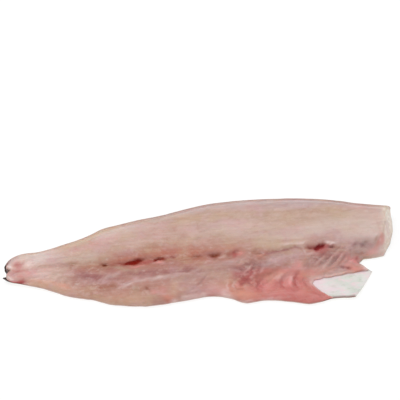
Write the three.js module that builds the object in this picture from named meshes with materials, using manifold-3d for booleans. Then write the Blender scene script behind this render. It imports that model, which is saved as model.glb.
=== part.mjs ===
// A raw fillet of a slender freshwater fish, lying on its skin with the cut side up.
// Two pieces: the flesh, and the skin under it, which reaches past the flesh at the belly flap.
// Millimetres, Z up. While it is shaped, x runs from the tail end to the head end, and y is 0 on
// the blood line, positive towards the back and negative towards the belly.
import * as THREE from "three";
import { mergeVertices } from "three/addons/utils/BufferGeometryUtils.js";
import Module from "manifold-3d";

const wasm = await Module();
wasm.setup();

// Driving dimensions
const LENGTH = 325;
const SKIN_THICKNESS = 0.8;
const SKIN_GAP = 0.3; // air between the skin and the flesh
const FLESH_INSET = 0.7; // how far the flesh stops short of the skin's rim
const CUT_SLOPE = 0.5; // how far the slanted head cut leads back for each millimetre up
const BELLY_ARC = 9; // how wide the strip of skin is that lifts along the belly

// Curves along the fillet, each through stations of x and a value
const BACK_EDGE = [
  [0, 6.4], [3, 12.4], [9, 16.8], [30, 18.8], [51, 24.2], [67, 29.2], [80, 35.4], [94, 38.4], [112, 42],
  [130, 44.4], [150, 49], [174, 52.8], [234, 52.4], [267, 48.8], [298, 42.2], [325, 38.6],
];
const BELLY_EDGE = [
  [0, -3.4], [4, -6.4], [14, -9.6], [35, -15.6], [51, -22.8], [72, -28.2], [84, -32.6], [102, -36],
  [121, -36.8], [143, -34.4], [165, -32], [178, -34], [192, -40], [208, -38.8], [231, -42.4],
  [243, -45], [262, -41.4], [282, -41.8], [325, -41.8],
];
const BACK_ARC = [[0, 5], [30, 8], [100, 12], [200, 14], [325, 13]]; // width of the rounded back
const BACK_RIM = [[0, 4.4], [30, 5.6], [100, 9], [200, 11], [290, 11.4], [325, 10]]; // rim's height
const BELLY_RIM = [[0, 4], [14, 3], [40, 1.7], [120, 1.2], [325, 1.2]];
const CREST = [[0, 5.4], [12, 8], [60, 12.4], [130, 16.2], [200, 19.6], [262, 21], [325, 18.4]];
const BACK_SLOPE = [[0, 5.2], [12, 7.4], [60, 10.8], [130, 13.6], [200, 16.6], [262, 18.2], [325, 16.6]];
const BLOOD_LINE = [[0, 5], [12, 6.9], [60, 9.2], [130, 11], [200, 12.6], [262, 13.4], [325, 13]];
const BELLY_HUMP = [[0, 4.8], [12, 6.6], [60, 9.6], [130, 11.6], [190, 11.4], [240, 9.4], [325, 8.6]];
const BELLY_FLANK = [[0, 4.4], [12, 5.6], [60, 7.4], [110, 8.4], [160, 6.6], [220, 5.2], [325, 4.6]];
const BELLY_SHARE = 0.8; // the height at the belly edge, as a share of the flank's
const BACK_SHARE = 0.93; // the height at the back edge, as a share of the crest's
const TAIL_SHARE = 0.8; // the height at the tail end, as a share of what the curves give
const LIP = 1.1; // how far the flesh stands over the rim at its very edge
const SHOULDER = 11; // how wide the rounding is at the back edge
const BELLY_ROUNDING = 5;

// Where those heights lie, as shares of the way from the blood line to the belly or back edge
const FLANK_SHARE = 0.62;
const HUMP_SHARE = 0.25;
const SLOPE_SHARE = 0.22;
const CREST_SHARE = 0.6;

// The ends, as points of the outline from the belly to the back
const TAIL_END = [[0, -3.4], [2.6, 0.8], [0.8, 6.4]];
const HEAD_END = [
  [279.8, -41.8], [289, -30.4], [297.7, -18], [288.3, -9.2], [292.8, -5.4], [304, -4.4],
  [310.3, -3.2], [318, 8.6], [322.6, 20.6], [324, 30.2], [322.6, 38.8],
];
// The bare flap: where the flesh is cut away from the skin
const FLAP_CUT = [
  [264, -43], [254, -34.4], [248.8, -28.8], [247, -25.6], [249.8, -23.2], [262, -21.4], [278, -19.4], [293, -16.8],
];
const CUTTER_REACH = 60; // how far the cutter runs past the fillet
// The flesh thins towards that cut, and towards the notch in the head end
const THIN_EDGE = [...FLAP_CUT, ...HEAD_END.slice(2, 7)];
const THIN_SHARE = 0.42; // the thickness along that edge, as a share of the full one
const THIN_TAPER = 12; // how far from the edge it is full again
// The bare flap curls off the surface, and ripples
const FLAP_LIFT = 3;
const FLAP_CLEAR = 2.5; // how far from the cut it starts to curl
const FLAP_CURL = 36; // how far from the cut it is at its full height
const FLAP_WAVE = 17; // from one ripple to the next
const FLAP_RIPPLE = 0.3; // their height, as a share of the lift

// Relief on the cut side: hollows and ridges as [x, y, length, width, turn in degrees, height]
const MOUNDS = [
  [92, -18, 46, 11, -3, -1.3], // the hollow above the long belly muscle
  [128, -27, 44, 8, -4, 1.5], // the belly muscle
  [196, -17, 22, 10, 8, -1.1],
  [226, -21, 20, 13, 12, -1.9], // the bed of the ribs
  [222, -36, 17, 6, 0, 1.6],
  [248, -36, 10, 6, 12, 1.3], // the lobe under the flap
  [244, -12, 17, 7, 4, 1.2],
  [270, -12, 14, 8, 6, -1],
  [255, 2, 9, 3, 8, -2.2], // the gash where the pin bones were
  [112, 1, 14, 3.2, 2, -1.6],
  [176, 0, 12, 3, 0, -1.2],
  [60, 2, 26, 4, 0, -0.7],
  [15, 9, 5, 4, 20, -1.1],
  [14, -1, 6, 3.4, 0, 1],
];
const CRESCENT = { x: 232, y: -24, radius: 9, width: 4.2, height: 1.3, from: 95, to: 275 };
const RIB_MARKS = { from: 250, to: 276, count: 4, y: -12, reach: 8, slant: 1.1, width: 2.6, depth: 0.8 };

// The grid that both pieces are lofted on
const COARSE_STEP = 6.2; // between cross-sections, on the tail
const FINE_STEP = 3.2; // and from here on to the head
const FINE_FROM = 180;
// The rows along the fillet, as shares of the way across its flat part, closer by the notch
const ROW_SHARES = [
  0, 0.06, 0.12, 0.18, 0.24, 0.29, 0.34, 0.38, 0.42, 0.456, 0.48, 0.507, 0.535, 0.58, 0.64, 0.72,
  0.81, 0.9, 1,
];
const SKIPPED_ROWS = [3, 5, 13, 15, 17]; // the ones that the skin does without
const ARC_ROWS = 6;
const TAIL_BLEND = 22; // how far the ends' shapes reach into the grid
const HEAD_BLEND = 60;

// Small tools
const lerp = THREE.MathUtils.lerp;
const smooth = THREE.MathUtils.smoothstep;
const radians = THREE.MathUtils.degToRad;

function curve(stations) {
  const at = stations.map((s) => s[0]);
  const values = stations.map((s) => s[1]);
  const spline = new THREE.CubicInterpolant(at, values, 1, new Float64Array(1));
  return (x) => spline.evaluate(THREE.MathUtils.clamp(x, at[0], at[at.length - 1]))[0];
}

const backEdge = curve(BACK_EDGE);
const bellyEdge = curve(BELLY_EDGE);
const backArc = curve(BACK_ARC);
const backRim = curve(BACK_RIM);
const bellyRim = curve(BELLY_RIM);
const lines = [BELLY_FLANK, BELLY_HUMP, BLOOD_LINE, BACK_SLOPE, CREST].map(curve);

// An end's outline as x over the share of the way across, made of straight runs
function endCurve(points) {
  const shares = points.map(([x, y]) => (y - bellyEdge(x)) / (backEdge(x) - bellyEdge(x)));
  const xs = points.map((p) => p[0]);
  const runs = new THREE.LinearInterpolant(shares, xs, 1, new Float64Array(1));
  return (share) => runs.evaluate(share)[0];
}

const tailEnd = endCurve(TAIL_END);
const headEnd = endCurve(HEAD_END);

function distanceToLine(points, x, y) {
  const here = new THREE.Vector2(x, y);
  const nearest = new THREE.Vector2();
  let least = Infinity;
  for (let i = 1; i < points.length; i++) {
    const a = new THREE.Vector2(...points[i - 1]);
    const along = new THREE.Vector2(...points[i]).sub(a);
    const t = THREE.MathUtils.clamp(nearest.subVectors(here, a).dot(along) / along.lengthSq(), 0, 1);
    least = Math.min(least, here.distanceTo(nearest.copy(a).addScaledVector(along, t)));
  }
  return least;
}

// How high the bare flap of skin curls, beyond the two arms of the cut that meet at its tip
const tip = FLAP_CUT.findIndex((point) => point[0] === Math.min(...FLAP_CUT.map((p) => p[0])));
const lowerArm = curve(FLAP_CUT.slice(0, tip + 1).reverse());
const upperArm = curve(FLAP_CUT.slice(tip));

function flapLift(x, y) {
  const aboveLower = x > FLAP_CUT[0][0] || y > lowerArm(x);
  if (x < FLAP_CUT[tip][0] || y > upperArm(x) || !aboveLower) return 0;
  const curl = smooth(distanceToLine(FLAP_CUT, x, y), FLAP_CLEAR, FLAP_CURL);
  return FLAP_LIFT * curl * (1 + FLAP_RIPPLE * Math.sin((2 * Math.PI * (x + y)) / FLAP_WAVE));
}

// Relief of the cut side
function mound(x, y, [cx, cy, length, width, turn, height]) {
  const c = Math.cos(radians(turn));
  const s = Math.sin(radians(turn));
  const along = ((x - cx) * c + (y - cy) * s) / length;
  const across = ((y - cy) * c - (x - cx) * s) / width;
  return height * Math.exp(-(along * along) - across * across);
}

function crescent(x, y) {
  const dx = x - CRESCENT.x;
  const dy = y - CRESCENT.y;
  const angle = (THREE.MathUtils.radToDeg(Math.atan2(dy, dx)) + 360) % 360;
  const middle = (CRESCENT.from + CRESCENT.to) / 2;
  const half = (CRESCENT.to - CRESCENT.from) / 2;
  const fade = Math.max(0, 1 - ((angle - middle) / half) ** 2);
  const off = (Math.hypot(dx, dy) - CRESCENT.radius) / CRESCENT.width;
  return CRESCENT.height * fade * Math.exp(-off * off);
}

function ribMarks(x, y) {
  const m = RIB_MARKS;
  const upright = x - m.slant * (y - m.y);
  const step = (m.to - m.from) / (m.count - 1);
  let depth = 0;
  for (let i = 0; i < m.count; i++) {
    const off = (upright - m.from - i * step) / m.width;
    depth += m.depth * Math.exp(-off * off);
  }
  return -depth * Math.exp(-(((y - m.y) / m.reach) ** 2));
}

function relief(x, y) {
  const mounds = MOUNDS.reduce((sum, m) => sum + mound(x, y, m), 0);
  return mounds + crescent(x, y) + ribMarks(x, y);
}

// One cross-section: the outer skin, and what lies a set depth inside it.
// row runs from 0 at the belly rim to LAST_FLAT, and on round the back for ARC_ROWS more.
const LAST_FLAT = ROW_SHARES.length - 1;

function acrossAt(x, row, depth, inset) {
  const belly = bellyEdge(x);
  const back = backEdge(x);
  const arc = backArc(x);
  if (row <= LAST_FLAT) {
    const y = lerp(belly + inset, back - arc, ROW_SHARES[row]);
    const lift = 1 - Math.min(1, (y - belly) / BELLY_ARC);
    return { y, z: bellyRim(x) * lift * lift + depth };
  }
  const angle = ((row - LAST_FLAT) / ARC_ROWS) * (Math.PI / 2);
  return {
    y: back - arc + (arc - depth - (depth ? inset - SKIN_GAP : 0)) * Math.sin(angle),
    z: depth + (backRim(x) - depth) * (1 - Math.cos(angle)),
  };
}

function shareAcross(x, row) {
  const belly = bellyEdge(x);
  return (acrossAt(x, row, 0, 0).y - belly) / (backEdge(x) - belly);
}

// The height of the cut side, before its edges are rounded
function bodyHeight(x, y) {
  const belly = bellyEdge(x);
  const back = backEdge(x);
  const at = [FLANK_SHARE * belly, HUMP_SHARE * belly, 0, SLOPE_SHARE * back, CREST_SHARE * back];
  const heights = lines.map((line) => line(x));
  const ends = [[belly, heights[0] * BELLY_SHARE], [back, heights[4] * BACK_SHARE]];
  const section = curve([ends[0], ...at.map((y0, i) => [y0, heights[i]]), ends[1]]);
  return section(y);
}

function rounded(distance, reach) {
  const t = 1 - Math.min(1, Math.max(0, distance) / reach);
  return Math.sqrt(1 - t * t);
}

function topHeight(x, y, floor, inset) {
  const full = bodyHeight(x, y) + relief(x, y);
  const taper = lerp(THIN_SHARE, 1, smooth(distanceToLine(THIN_EDGE, x, y), 0, THIN_TAPER));
  const byBack = rounded(backEdge(x) - inset - y, Math.min(SHOULDER, backArc(x)));
  const byBelly = rounded(y - bellyEdge(x) - inset, BELLY_ROUNDING);
  return floor + LIP + Math.max(0, full - floor - LIP) * taper * byBack * byBelly;
}

// Cross-sections along the fillet, closer where the head end has more shape
function stationsAlong() {
  const coarse = Math.round(FINE_FROM / COARSE_STEP);
  const fine = Math.round((LENGTH - FINE_FROM) / FINE_STEP);
  const tail = Array.from({ length: coarse }, (_, i) => (i / coarse) * FINE_FROM);
  const head = Array.from({ length: fine + 1 }, (_, i) => lerp(FINE_FROM, LENGTH, i / fine));
  return [...tail, ...head];
}

// x on the grid: straight cross-sections in the middle that take the ends' shapes near them
function alongAt(station, row, trim) {
  const start = tailEnd(shareAcross(0, row)) + trim;
  const end = headEnd(shareAcross(HEAD_END[0][0], row)) - trim;
  const nearTail = 1 - smooth(station, 0, TAIL_BLEND);
  const nearHead = Math.max(0, (station - (LENGTH - HEAD_BLEND)) / HEAD_BLEND);
  return station + nearTail * start + nearHead * (end - LENGTH);
}

// A closed mesh from two grids of points of the same size, the lower and the upper face
function closeGrids(lower, upper) {
  const rows = lower.length;
  const columns = lower[0].length;
  const positions = [...lower.flat(), ...upper.flat()].flat();
  const faces = [];
  const quad = (a, b, c, d) => faces.push(a, b, c, a, c, d);
  const id = (side, r, c) => side * rows * columns + r * columns + c;
  for (let r = 0; r + 1 < rows; r++)
    for (let c = 0; c + 1 < columns; c++) {
      quad(id(0, r, c), id(0, r + 1, c), id(0, r + 1, c + 1), id(0, r, c + 1));
      quad(id(1, r, c), id(1, r, c + 1), id(1, r + 1, c + 1), id(1, r + 1, c));
    }
  for (let c = 0; c + 1 < columns; c++) {
    const last = rows - 1;
    quad(id(0, 0, c), id(0, 0, c + 1), id(1, 0, c + 1), id(1, 0, c));
    quad(id(0, last, c + 1), id(0, last, c), id(1, last, c), id(1, last, c + 1));
  }
  for (let r = 0; r + 1 < rows; r++) {
    const last = columns - 1;
    quad(id(0, r + 1, 0), id(0, r, 0), id(1, r, 0), id(1, r + 1, 0));
    quad(id(0, r, last), id(0, r + 1, last), id(1, r + 1, last), id(1, r, last));
  }
  const geometry = new THREE.BufferGeometry();
  geometry.setAttribute("position", new THREE.Float32BufferAttribute(positions, 3));
  geometry.setIndex(faces);
  return geometry;
}

// Solids for cutting
function toSolid(geometry) {
  const bare = geometry.clone();
  bare.deleteAttribute("normal");
  bare.deleteAttribute("uv");
  const merged = mergeVertices(bare, 1e-4);
  return new wasm.Manifold(
    new wasm.Mesh({
      numProp: 3,
      vertProperties: merged.attributes.position.array,
      triVerts: new Uint32Array(merged.index.array),
    }),
  );
}

function toGeometry(solid) {
  const mesh = solid.getMesh();
  const geometry = new THREE.BufferGeometry();
  geometry.setAttribute("position", new THREE.BufferAttribute(mesh.vertProperties, 3));
  geometry.setIndex(new THREE.BufferAttribute(mesh.triVerts, 1));
  const faceted = geometry.toNonIndexed();
  faceted.computeVertexNormals();
  return faceted;
}

function flapCutter() {
  const [first, last] = [FLAP_CUT[0], FLAP_CUT[FLAP_CUT.length - 1]];
  const shape = new THREE.Shape(FLAP_CUT.map((p) => new THREE.Vector2(...p)));
  shape.lineTo(last[0] + CUTTER_REACH, last[1]);
  shape.lineTo(last[0] + CUTTER_REACH, first[1] - CUTTER_REACH);
  shape.lineTo(first[0], first[1] - CUTTER_REACH);
  const prism = new THREE.ExtrudeGeometry(shape, { depth: CUTTER_REACH, bevelEnabled: false });
  return prism.translate(0, 0, -CUTTER_REACH / 2);
}

// The two pieces
function rowsOf(list, face) {
  const stations = stationsAlong();
  return list.map((row) => stations.map((station) => face(station, row)));
}

const EVERY_ROW = Array.from({ length: LAST_FLAT + ARC_ROWS + 1 }, (_, i) => i);
const SKIN_ROWS = EVERY_ROW.filter((row) => !SKIPPED_ROWS.includes(row));

function skinFace(depth) {
  return (station, row) => {
    const x = alongAt(station, row, 0);
    const { y, z } = acrossAt(x, row, depth, 0);
    return [x, y, z + flapLift(x, y)];
  };
}

function fleshUnderside(station, row) {
  const x = alongAt(station, row, FLESH_INSET);
  const { y, z } = acrossAt(x, row, SKIN_THICKNESS + SKIN_GAP, FLESH_INSET);
  return [x, y, z];
}

function fleshTop(station, row) {
  const [x, y, floor] = fleshUnderside(station, row);
  const nearHead = smooth(station, LENGTH - HEAD_BLEND / 2, LENGTH);
  const nearTail = lerp(TAIL_SHARE, 1, smooth(station, 0, TAIL_BLEND));
  const lead = CUT_SLOPE * nearHead * (topHeight(x, y, floor, FLESH_INSET) - floor);
  return [x - lead, y, topHeight(x - lead, y, floor, FLESH_INSET) * nearTail];
}

function skinGeometry() {
  const outer = rowsOf(SKIN_ROWS, skinFace(0));
  const inner = rowsOf(SKIN_ROWS, skinFace(SKIN_THICKNESS));
  return toGeometry(toSolid(closeGrids(outer, inner)));
}

function fleshGeometry() {
  const blank = toSolid(closeGrids(rowsOf(EVERY_ROW, fleshUnderside), rowsOf(EVERY_ROW, fleshTop)));
  return toGeometry(blank.subtract(toSolid(flapCutter())));
}

function piece(name, geometry, material) {
  const mesh = new THREE.Mesh(geometry, new THREE.MeshStandardMaterial(material));
  mesh.name = name;
  return mesh;
}

const fillet = new THREE.Group();
fillet.add(piece("flesh", fleshGeometry(), { color: 0xd0ada3, roughness: 0.42, metalness: 0 }));
fillet.add(piece("skin", skinGeometry(), { color: 0x8f8a4c, roughness: 0.38, metalness: 0 }));

// The origin is under the middle of the fillet, on the surface that it lies on
const box = new THREE.Box3().setFromObject(fillet);
const middle = box.getCenter(new THREE.Vector3());
fillet.position.set(-middle.x, -middle.y, -box.min.z);

export default fillet;
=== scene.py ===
"""A raw fillet of a slender freshwater fish, lying on its skin with the cut side up.

Two pieces stand for the two solids of the frame: the flesh, and the scaled skin under it, which lies
bare in a cut at the belly flap. Shapes are worked out in millimetres, with x from the tail end to the
head end, and y 0 on the blood line, positive towards the back and negative towards the belly.
"""
import math

import bpy
import numpy as np
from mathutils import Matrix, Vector


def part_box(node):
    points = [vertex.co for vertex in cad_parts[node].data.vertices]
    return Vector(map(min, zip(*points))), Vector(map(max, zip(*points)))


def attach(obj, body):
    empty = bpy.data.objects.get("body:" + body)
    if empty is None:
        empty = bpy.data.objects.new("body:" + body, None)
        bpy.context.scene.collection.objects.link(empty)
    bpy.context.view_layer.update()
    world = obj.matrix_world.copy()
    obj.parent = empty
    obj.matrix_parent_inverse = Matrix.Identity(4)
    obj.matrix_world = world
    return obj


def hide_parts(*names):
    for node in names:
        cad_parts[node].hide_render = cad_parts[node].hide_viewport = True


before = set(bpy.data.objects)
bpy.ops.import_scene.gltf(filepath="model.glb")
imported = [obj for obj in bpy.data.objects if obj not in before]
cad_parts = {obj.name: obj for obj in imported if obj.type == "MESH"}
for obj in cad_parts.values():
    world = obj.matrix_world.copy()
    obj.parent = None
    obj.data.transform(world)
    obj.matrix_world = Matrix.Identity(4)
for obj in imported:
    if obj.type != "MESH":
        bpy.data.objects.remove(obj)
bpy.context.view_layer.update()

MM = 0.001
SEED = 41

# Driving dimensions, the same as the solids'. Each list of pairs has places along the fillet, with a y for
# the edges, a radius for the turn of the skin round the back, and a height for the others
LENGTH = 325
SKIN_THICKNESS = 0.8
FLESH_SINK = 0.25  # how deep the flesh sits in the skin, so that no light passes between them
FLESH_INSET = 0.25  # how far the flesh stays inside the edges of the skin
CUT_SLOPE = 0.5  # how far the cut at the head end leans in for each millimetre of height
BELLY_ARC = 9  # how far from the belly edge the skin begins to lift
BACK_EDGE = [
    (0, 6.4), (3, 12.4), (9, 16.8), (30, 18.8), (51, 24.2), (67, 29.2), (80, 35.4), (94, 38.4),
    (112, 42), (130, 44.4), (150, 49), (174, 52.8), (234, 52.4), (267, 48.8), (298, 42.2), (325, 38.6),
]
BELLY_EDGE = [
    (0, -3.4), (4, -6.4), (14, -9.6), (35, -15.6), (51, -22.8), (72, -28.2), (84, -32.6), (102, -36),
    (121, -36.8), (143, -34.4), (165, -32), (178, -34), (192, -40), (208, -38.8), (231, -42.4),
    (243, -45), (262, -41.4), (282, -41.8), (325, -41.8),
]
BACK_ARC = [(0, 5), (30, 8), (100, 12), (200, 14), (325, 13)]
BACK_RIM = [(0, 4.4), (30, 5.6), (100, 9), (200, 11), (290, 11.4), (325, 10)]
BELLY_RIM = [(0, 4), (14, 3), (40, 1.7), (120, 1.2), (325, 1.2)]
CREST = [(0, 5.4), (12, 8), (60, 12.4), (130, 16.2), (200, 19.6), (262, 21), (325, 18.4)]
BACK_SLOPE = [(0, 5.2), (12, 7.4), (60, 10.8), (130, 13.6), (200, 16.6), (262, 18.2), (325, 16.6)]
BLOOD_LINE = [(0, 5), (12, 6.9), (60, 9.2), (130, 11), (200, 12.6), (262, 13.4), (325, 13)]
BELLY_HUMP = [(0, 4.8), (12, 6.6), (60, 9.6), (130, 11.6), (190, 11.4), (240, 9.4), (325, 8.6)]
BELLY_FLANK = [(0, 4.4), (12, 5.6), (60, 7.4), (110, 8.4), (160, 6.6), (220, 5.2), (325, 4.6)]
BELLY_SHARE, BACK_SHARE = 0.8, 0.93  # heights at the edges, as shares of those of the flank and crest
TAIL_SHARE, TAIL_BLEND = 0.8, 22  # how high the tail end stays, as a share, and along what length
LIP = 1.1  # the height of the flesh at its edges
SHOULDER, BELLY_ROUNDING = 11, 5  # how wide the back and the belly side are rounded
FLANK_SHARE, HUMP_SHARE = 0.62, 0.25  # where these lines run, as shares of the way to the belly edge
SLOPE_SHARE, CREST_SHARE = 0.22, 0.6  # and to the back edge

# The ends, as points of the outline from belly to back
TAIL_END = [
    (-0.4, -5), (0, -3.4), (0.2, -2.2), (1.6, -1.2), (2.2, 0.4), (2, 2.4), (1.6, 4), (0.6, 5.2),
    (0.6, 7), (1.4, 9.4),
]
FLESH_TAIL = [
    (13, -13), (10.2, -10), (7.8, -8), (5.4, -6.2), (3.6, -4.6), (2.6, -2.8), (2.2, -1), (2.6, 0.8), (3.6, 2),
    (4, 3.2), (3.2, 4.6), (2, 6), (1.4, 7.4), (1.9, 9.6), (2.9, 13),
]
FLAP_TIP = (297.7, -18)
NOTCH = [(288.3, -9.2), (292.8, -5.4), (304, -4.4), (310.3, -3.2)]
LOIN_END = [(318, 8.6), (322.6, 20.6), (324, 30.2), (322.6, 38.8)]
HEAD_CUT = [FLAP_TIP] + NOTCH + LOIN_END
HEAD_END = [(279.8, -41.8), (289, -30.4)] + HEAD_CUT

# The cut that bares the flap of skin: one arm to its inner end, then the other, which the flesh follows
# with a ragged line out to its own tip
LOWER_ARM = [(264, -43), (254, -34.4), (248.8, -28.8), (247, -25.6)]
UPPER_ARM = [(249.8, -23.2), (262, -21.4), (278, -19.4), (293, -16.8)]
FLAP_CUT = LOWER_ARM + UPPER_ARM
RAGGED_CUT = LOWER_ARM + [
    (249.8, -22.6), (254, -22), (258, -20.9), (262.4, -21.2), (267, -19.8), (271.6, -19.9), (277, -18.2),
    (282, -18.4), (287, -17.3),
]
FLESH_TIP = (294.4, -17.2)
BY_TIP = (291.6, -17)
THIN_EDGE = FLAP_CUT + [FLAP_TIP] + NOTCH
THIN_SHARE, THIN_TAPER = 0.2, 12  # how thick the flesh is along that edge, as a share, and how far in
FLAP_LIFT = 3  # how high the bare flap of skin curls
FLAP_CLEAR, FLAP_CURL = 2.5, 36  # how far from the cut the curl begins and ends
FLAP_WAVE, FLAP_RIPPLE = 17, 0.3  # the length of its ripples, and their height as a share of the curl
EDGE_RAGGED = 0.35  # how far the edges waver
SKIN_RAGGED, FLESH_RAGGED = 0.12, 0.22  # how far the ends and the cut waver
ROUND_CUT = 1.3  # how rounded the flesh is along its cuts
ROUND_HEAD = 1.5  # how softly the slanted cut at the head end runs into the cut side
LEAST_FLESH = 0.5  # nowhere is the flesh thinner

# Relief of the cut side. Each spot, here and among the colours, is x, y, length, width, then its height,
# depth or strength, and where it is turned, by how many degrees
MOUNDS = [
    (92, -18, 46, 11, -1.3, -3), (128, -27, 44, 8, 1.5, -4), (196, -17, 22, 10, -1.1, 8),
    (226, -21, 20, 13, -1.9, 12), (222, -36, 17, 6, 1.6), (248, -36, 10, 6, 1.3, 12),
    (244, -12, 17, 7, 1.2, 4), (270, -12, 14, 8, -1, 6), (255, 2, 9, 3, -2.2, 8),
    (112, 1, 14, 3.2, -1.6, 2), (174, 0, 12, 3.4, -0.9), (60, 2, 26, 4, -0.7), (15, 9, 5, 4, -1.1, 20),
    (14, -1, 6, 3.4, 1),
]
CRESCENT = dict(x=232, y=-24, radius=9, width=4.2, height=1.3, start=95, end=275)
RIB_MARKS = dict(start=250, end=276, count=4, y=-12, reach=8, slant=1.1, width=2.6, depth=0.5)
SWOLLEN_GASHES = [  # slits along the blood line with a low rise round them
    (82, -0.2, 3, 1.4, 0.7, -18), (102.4, -0.6, 3.4, 1.8, 0.8, 10), (107.4, 0.6, 4.4, 1.7, 1, 8),
    (111.6, 2, 2.8, 0.9, 0.8, 10), (123, -0.2, 2, 1.2, 0.7, 40), (126.2, 1.2, 3, 1.1, 1.1),
]
SWELL = dict(length=1.3, width=2.4, height=0.35)
GASHES = SWOLLEN_GASHES + [  # the other slits have no rise
    (137, 1.6, 3.2, 0.8, 0.6, 4), (157, 0.4, 3.4, 0.9, 0.9), (170.4, 0.6, 4.4, 1.5, 0.9, 8),
    (188, 1.2, 3.2, 1.6, 1.1, 20), (207.6, -1.2, 2.8, 1.2, 0.9, 14), (248, 1.2, 3.4, 0.8, 0.9, 4),
    (253.6, 0, 1.8, 2.2, 1.1), (258, 2.2, 3.4, 1.3, 1.5, 12), (266, 0.6, 2.4, 1.1, 1),
    (274, -14.6, 2.6, 1, 0.8), (279, -15.6, 2.6, 1, 0.6, -10), (286, 1.4, 1.8, 1.1, 0.5),
    (292.6, 2.2, 2.8, 1.1, 0.8, 10), (196, -21.6, 4.4, 1.2, 1.1, 6), (199.4, -17.4, 2.6, 1, 0.8, 30),
    (192, -15.8, 3, 1, 0.7, 20), (204, -24.6, 3.6, 1, 0.7, -16), (106, -24.6, 3.4, 1.4, 0.7, -14),
    (116, -25.4, 3.6, 1.2, 0.6, 6), (189, -8.4, 3, 1, 0.5, 24), (198, -10.4, 2.4, 1, 0.6, 50),
]
TANGLES = [  # beds of loose fibres
    (200, -11, 9, 6, 0.9, 35), (194, -21, 11, 7, 1, 20), (288, 0, 13, 3, 0.4, 4), (264, -7, 16, 6, 0.4),
]

# Lines that are both relief and colour
RIB_LINES = [  # between the marks of the ribs
    [(256, -13.4), (262, -8.6), (268, -3.4)], [(262, -14.6), (268, -9.4), (275, -3.6)],
    [(268.6, -14.6), (273.6, -9.8), (280, -4.8)], [(250, -11.6), (256, -7), (261, -3)],
    [(276, -13), (280, -9.6), (285, -6.4)],
]
LINING_LINES = [  # edges of the belly lining
    [(90, -22.4), (100, -19.4), (107, -16.6), (114, -17), (126, -16), (136, -15.2), (150, -14),
     (161, -9.6)], [(76, -14.6), (86, -11.4), (96, -9.4)],
]
GROOVES = [  # thin lines pressed into the surface: points, width, depth
    ([(213, -1), (222, -0.6), (230, 0.8), (237, 1.8), (241, 0.8), (243.4, -3), (243.6, -8)], 1.2, 0.4),
    (RIB_LINES[0], 1, 0.7), (RIB_LINES[1], 1.1, 0.9), (RIB_LINES[2], 1, 0.7), (RIB_LINES[3], 0.9, 0.6),
    ([(245.6, -9.6), (250, -6), (254, -3.6)], 0.7, 0.6), (RIB_LINES[4], 0.8, 0.7),
    ([(259, -16.6), (266, -15), (272, -14.6)], 0.7, 0.6), ([(266, -6), (270, -2), (276, 1.4)], 0.8, 0.7),
    ([(279, -3), (285, -2.4), (292, -2.6), (299, -1)], 0.9, 0.8),
    ([(229, -18.6), (224.4, -21), (222, -25), (223.4, -29), (227.4, -32.4)], 1.8, 1.1),
    ([(239, -17), (235, -20), (233.6, -24.4), (234.6, -28.6), (237.4, -32)], 1.8, 1.1),
    ([(221, -17.6), (214.6, -21.6), (212.6, -26), (214, -31), (218, -35)], 1.8, 0.5),
    ([(210, -20), (204.8, -23.6), (203, -28), (205, -32.6)], 1.2, 0.7),
    ([(200, -25), (195, -26.6), (190.6, -25.4), (187, -22)], 1, 0.8),
    ([(194, -29.6), (187, -29.4), (181.6, -26.4)], 1, 0.7),
    ([(190, -33), (183, -31.6), (178, -28.4)], 0.9, 0.5),
    ([(241.6, -21), (241, -25), (243, -29), (248, -34)], 1.1, 0.7),
    ([(144.4, -33.4), (153, -25.8), (161.5, -17.8), (167.6, -12.4)], 0.9, 0.42),
    ([(152, -33), (160, -25.4), (168, -19), (175, -14.6)], 1, 0.2),
    ([(82, -24), (87.4, -22.8), (98.6, -19.6), (108, -17)], 0.8, 0.4),
    ([(196, -32), (206, -28), (214, -22), (220, -17)], 1.2, 0.2),
    ([(178, -27), (186, -22), (194, -14), (201, -8)], 1.2, 0.25),
    ([(205, -13.6), (216, -14.4), (228, -13.4), (240, -13.6)], 2, 0.35),
    ([(1.2, 7.6), (2.2, 5), (4, 3.8), (6.4, 3)], 1.1, 0.7),
    ([(60, -3.6), (74, -4.4), (88, -4.2), (104, -5)], 1, 0.4), ([(30, 2.6), (44, 3), (60, 2.4)], 0.9, 0.4),
]
RIDGES = [  # thin raised lines: points, width, height
    (LINING_LINES[0], 1.8, 0.3), (LINING_LINES[1], 1.5, 0.25),
    ([(261.4, 4.4), (264.2, 4.2), (266, 5)], 0.7, 0.6),
    ([(264, 2.6), (266.6, 3.8), (269.4, 3.4)], 0.7, 0.6),
    ([(231.4, -19), (229.4, -24), (230.4, -29)], 1.9, 1.1),
    ([(219, -20), (217, -25), (219, -30)], 1.6, 0.5),
    ([(243.6, -6), (245.4, -10), (243.4, -15)], 1.6, 0.25),
    ([(300, -5), (305, -3.4), (309, 1), (312, 7)], 1.2, 0.4),
    ([(207, -10), (218, -9.4), (229, -6), (238, -5)], 2.6, 0.7),
    ([(192, -27.6), (186, -27), (181.6, -23.6)], 1, 0.6),
    ([(196, -23.6), (190.6, -22.6), (187.6, -19)], 1, 0.6),
    ([(259, -12), (265, -7), (271, -2.4)], 0.8, 0.5), ([(265.4, -13), (271, -8.4), (278, -3.2)], 0.8, 0.5),
    ([(114, -29), (122, -31), (131, -33)], 1.4, 0.5),
    ([(248, -25), (247, -29), (251, -34), (258, -40)], 0.9, 0.3),
]
MUSCLE_PITCH = 7.4  # from one band of muscle to the next
MUSCLE_SWEEP = 1.15  # how far they sweep back for each millimetre from the blood line
MUSCLE_TURN = 0.55  # where they turn forward again, as a share of the way to the edge
MUSCLE_RETURN = 0.8  # how far they come forward again beyond that, as a share of the sweep
MUSCLE_LINE = 0.75  # how wide the line between two bands is
MUSCLE_GROOVE = 0.10
FIBRE = 0.06
LUMPS = 0.34
BELLY_LUMPS = 0.36
TANGLE_LUMPS = 0.45

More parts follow.
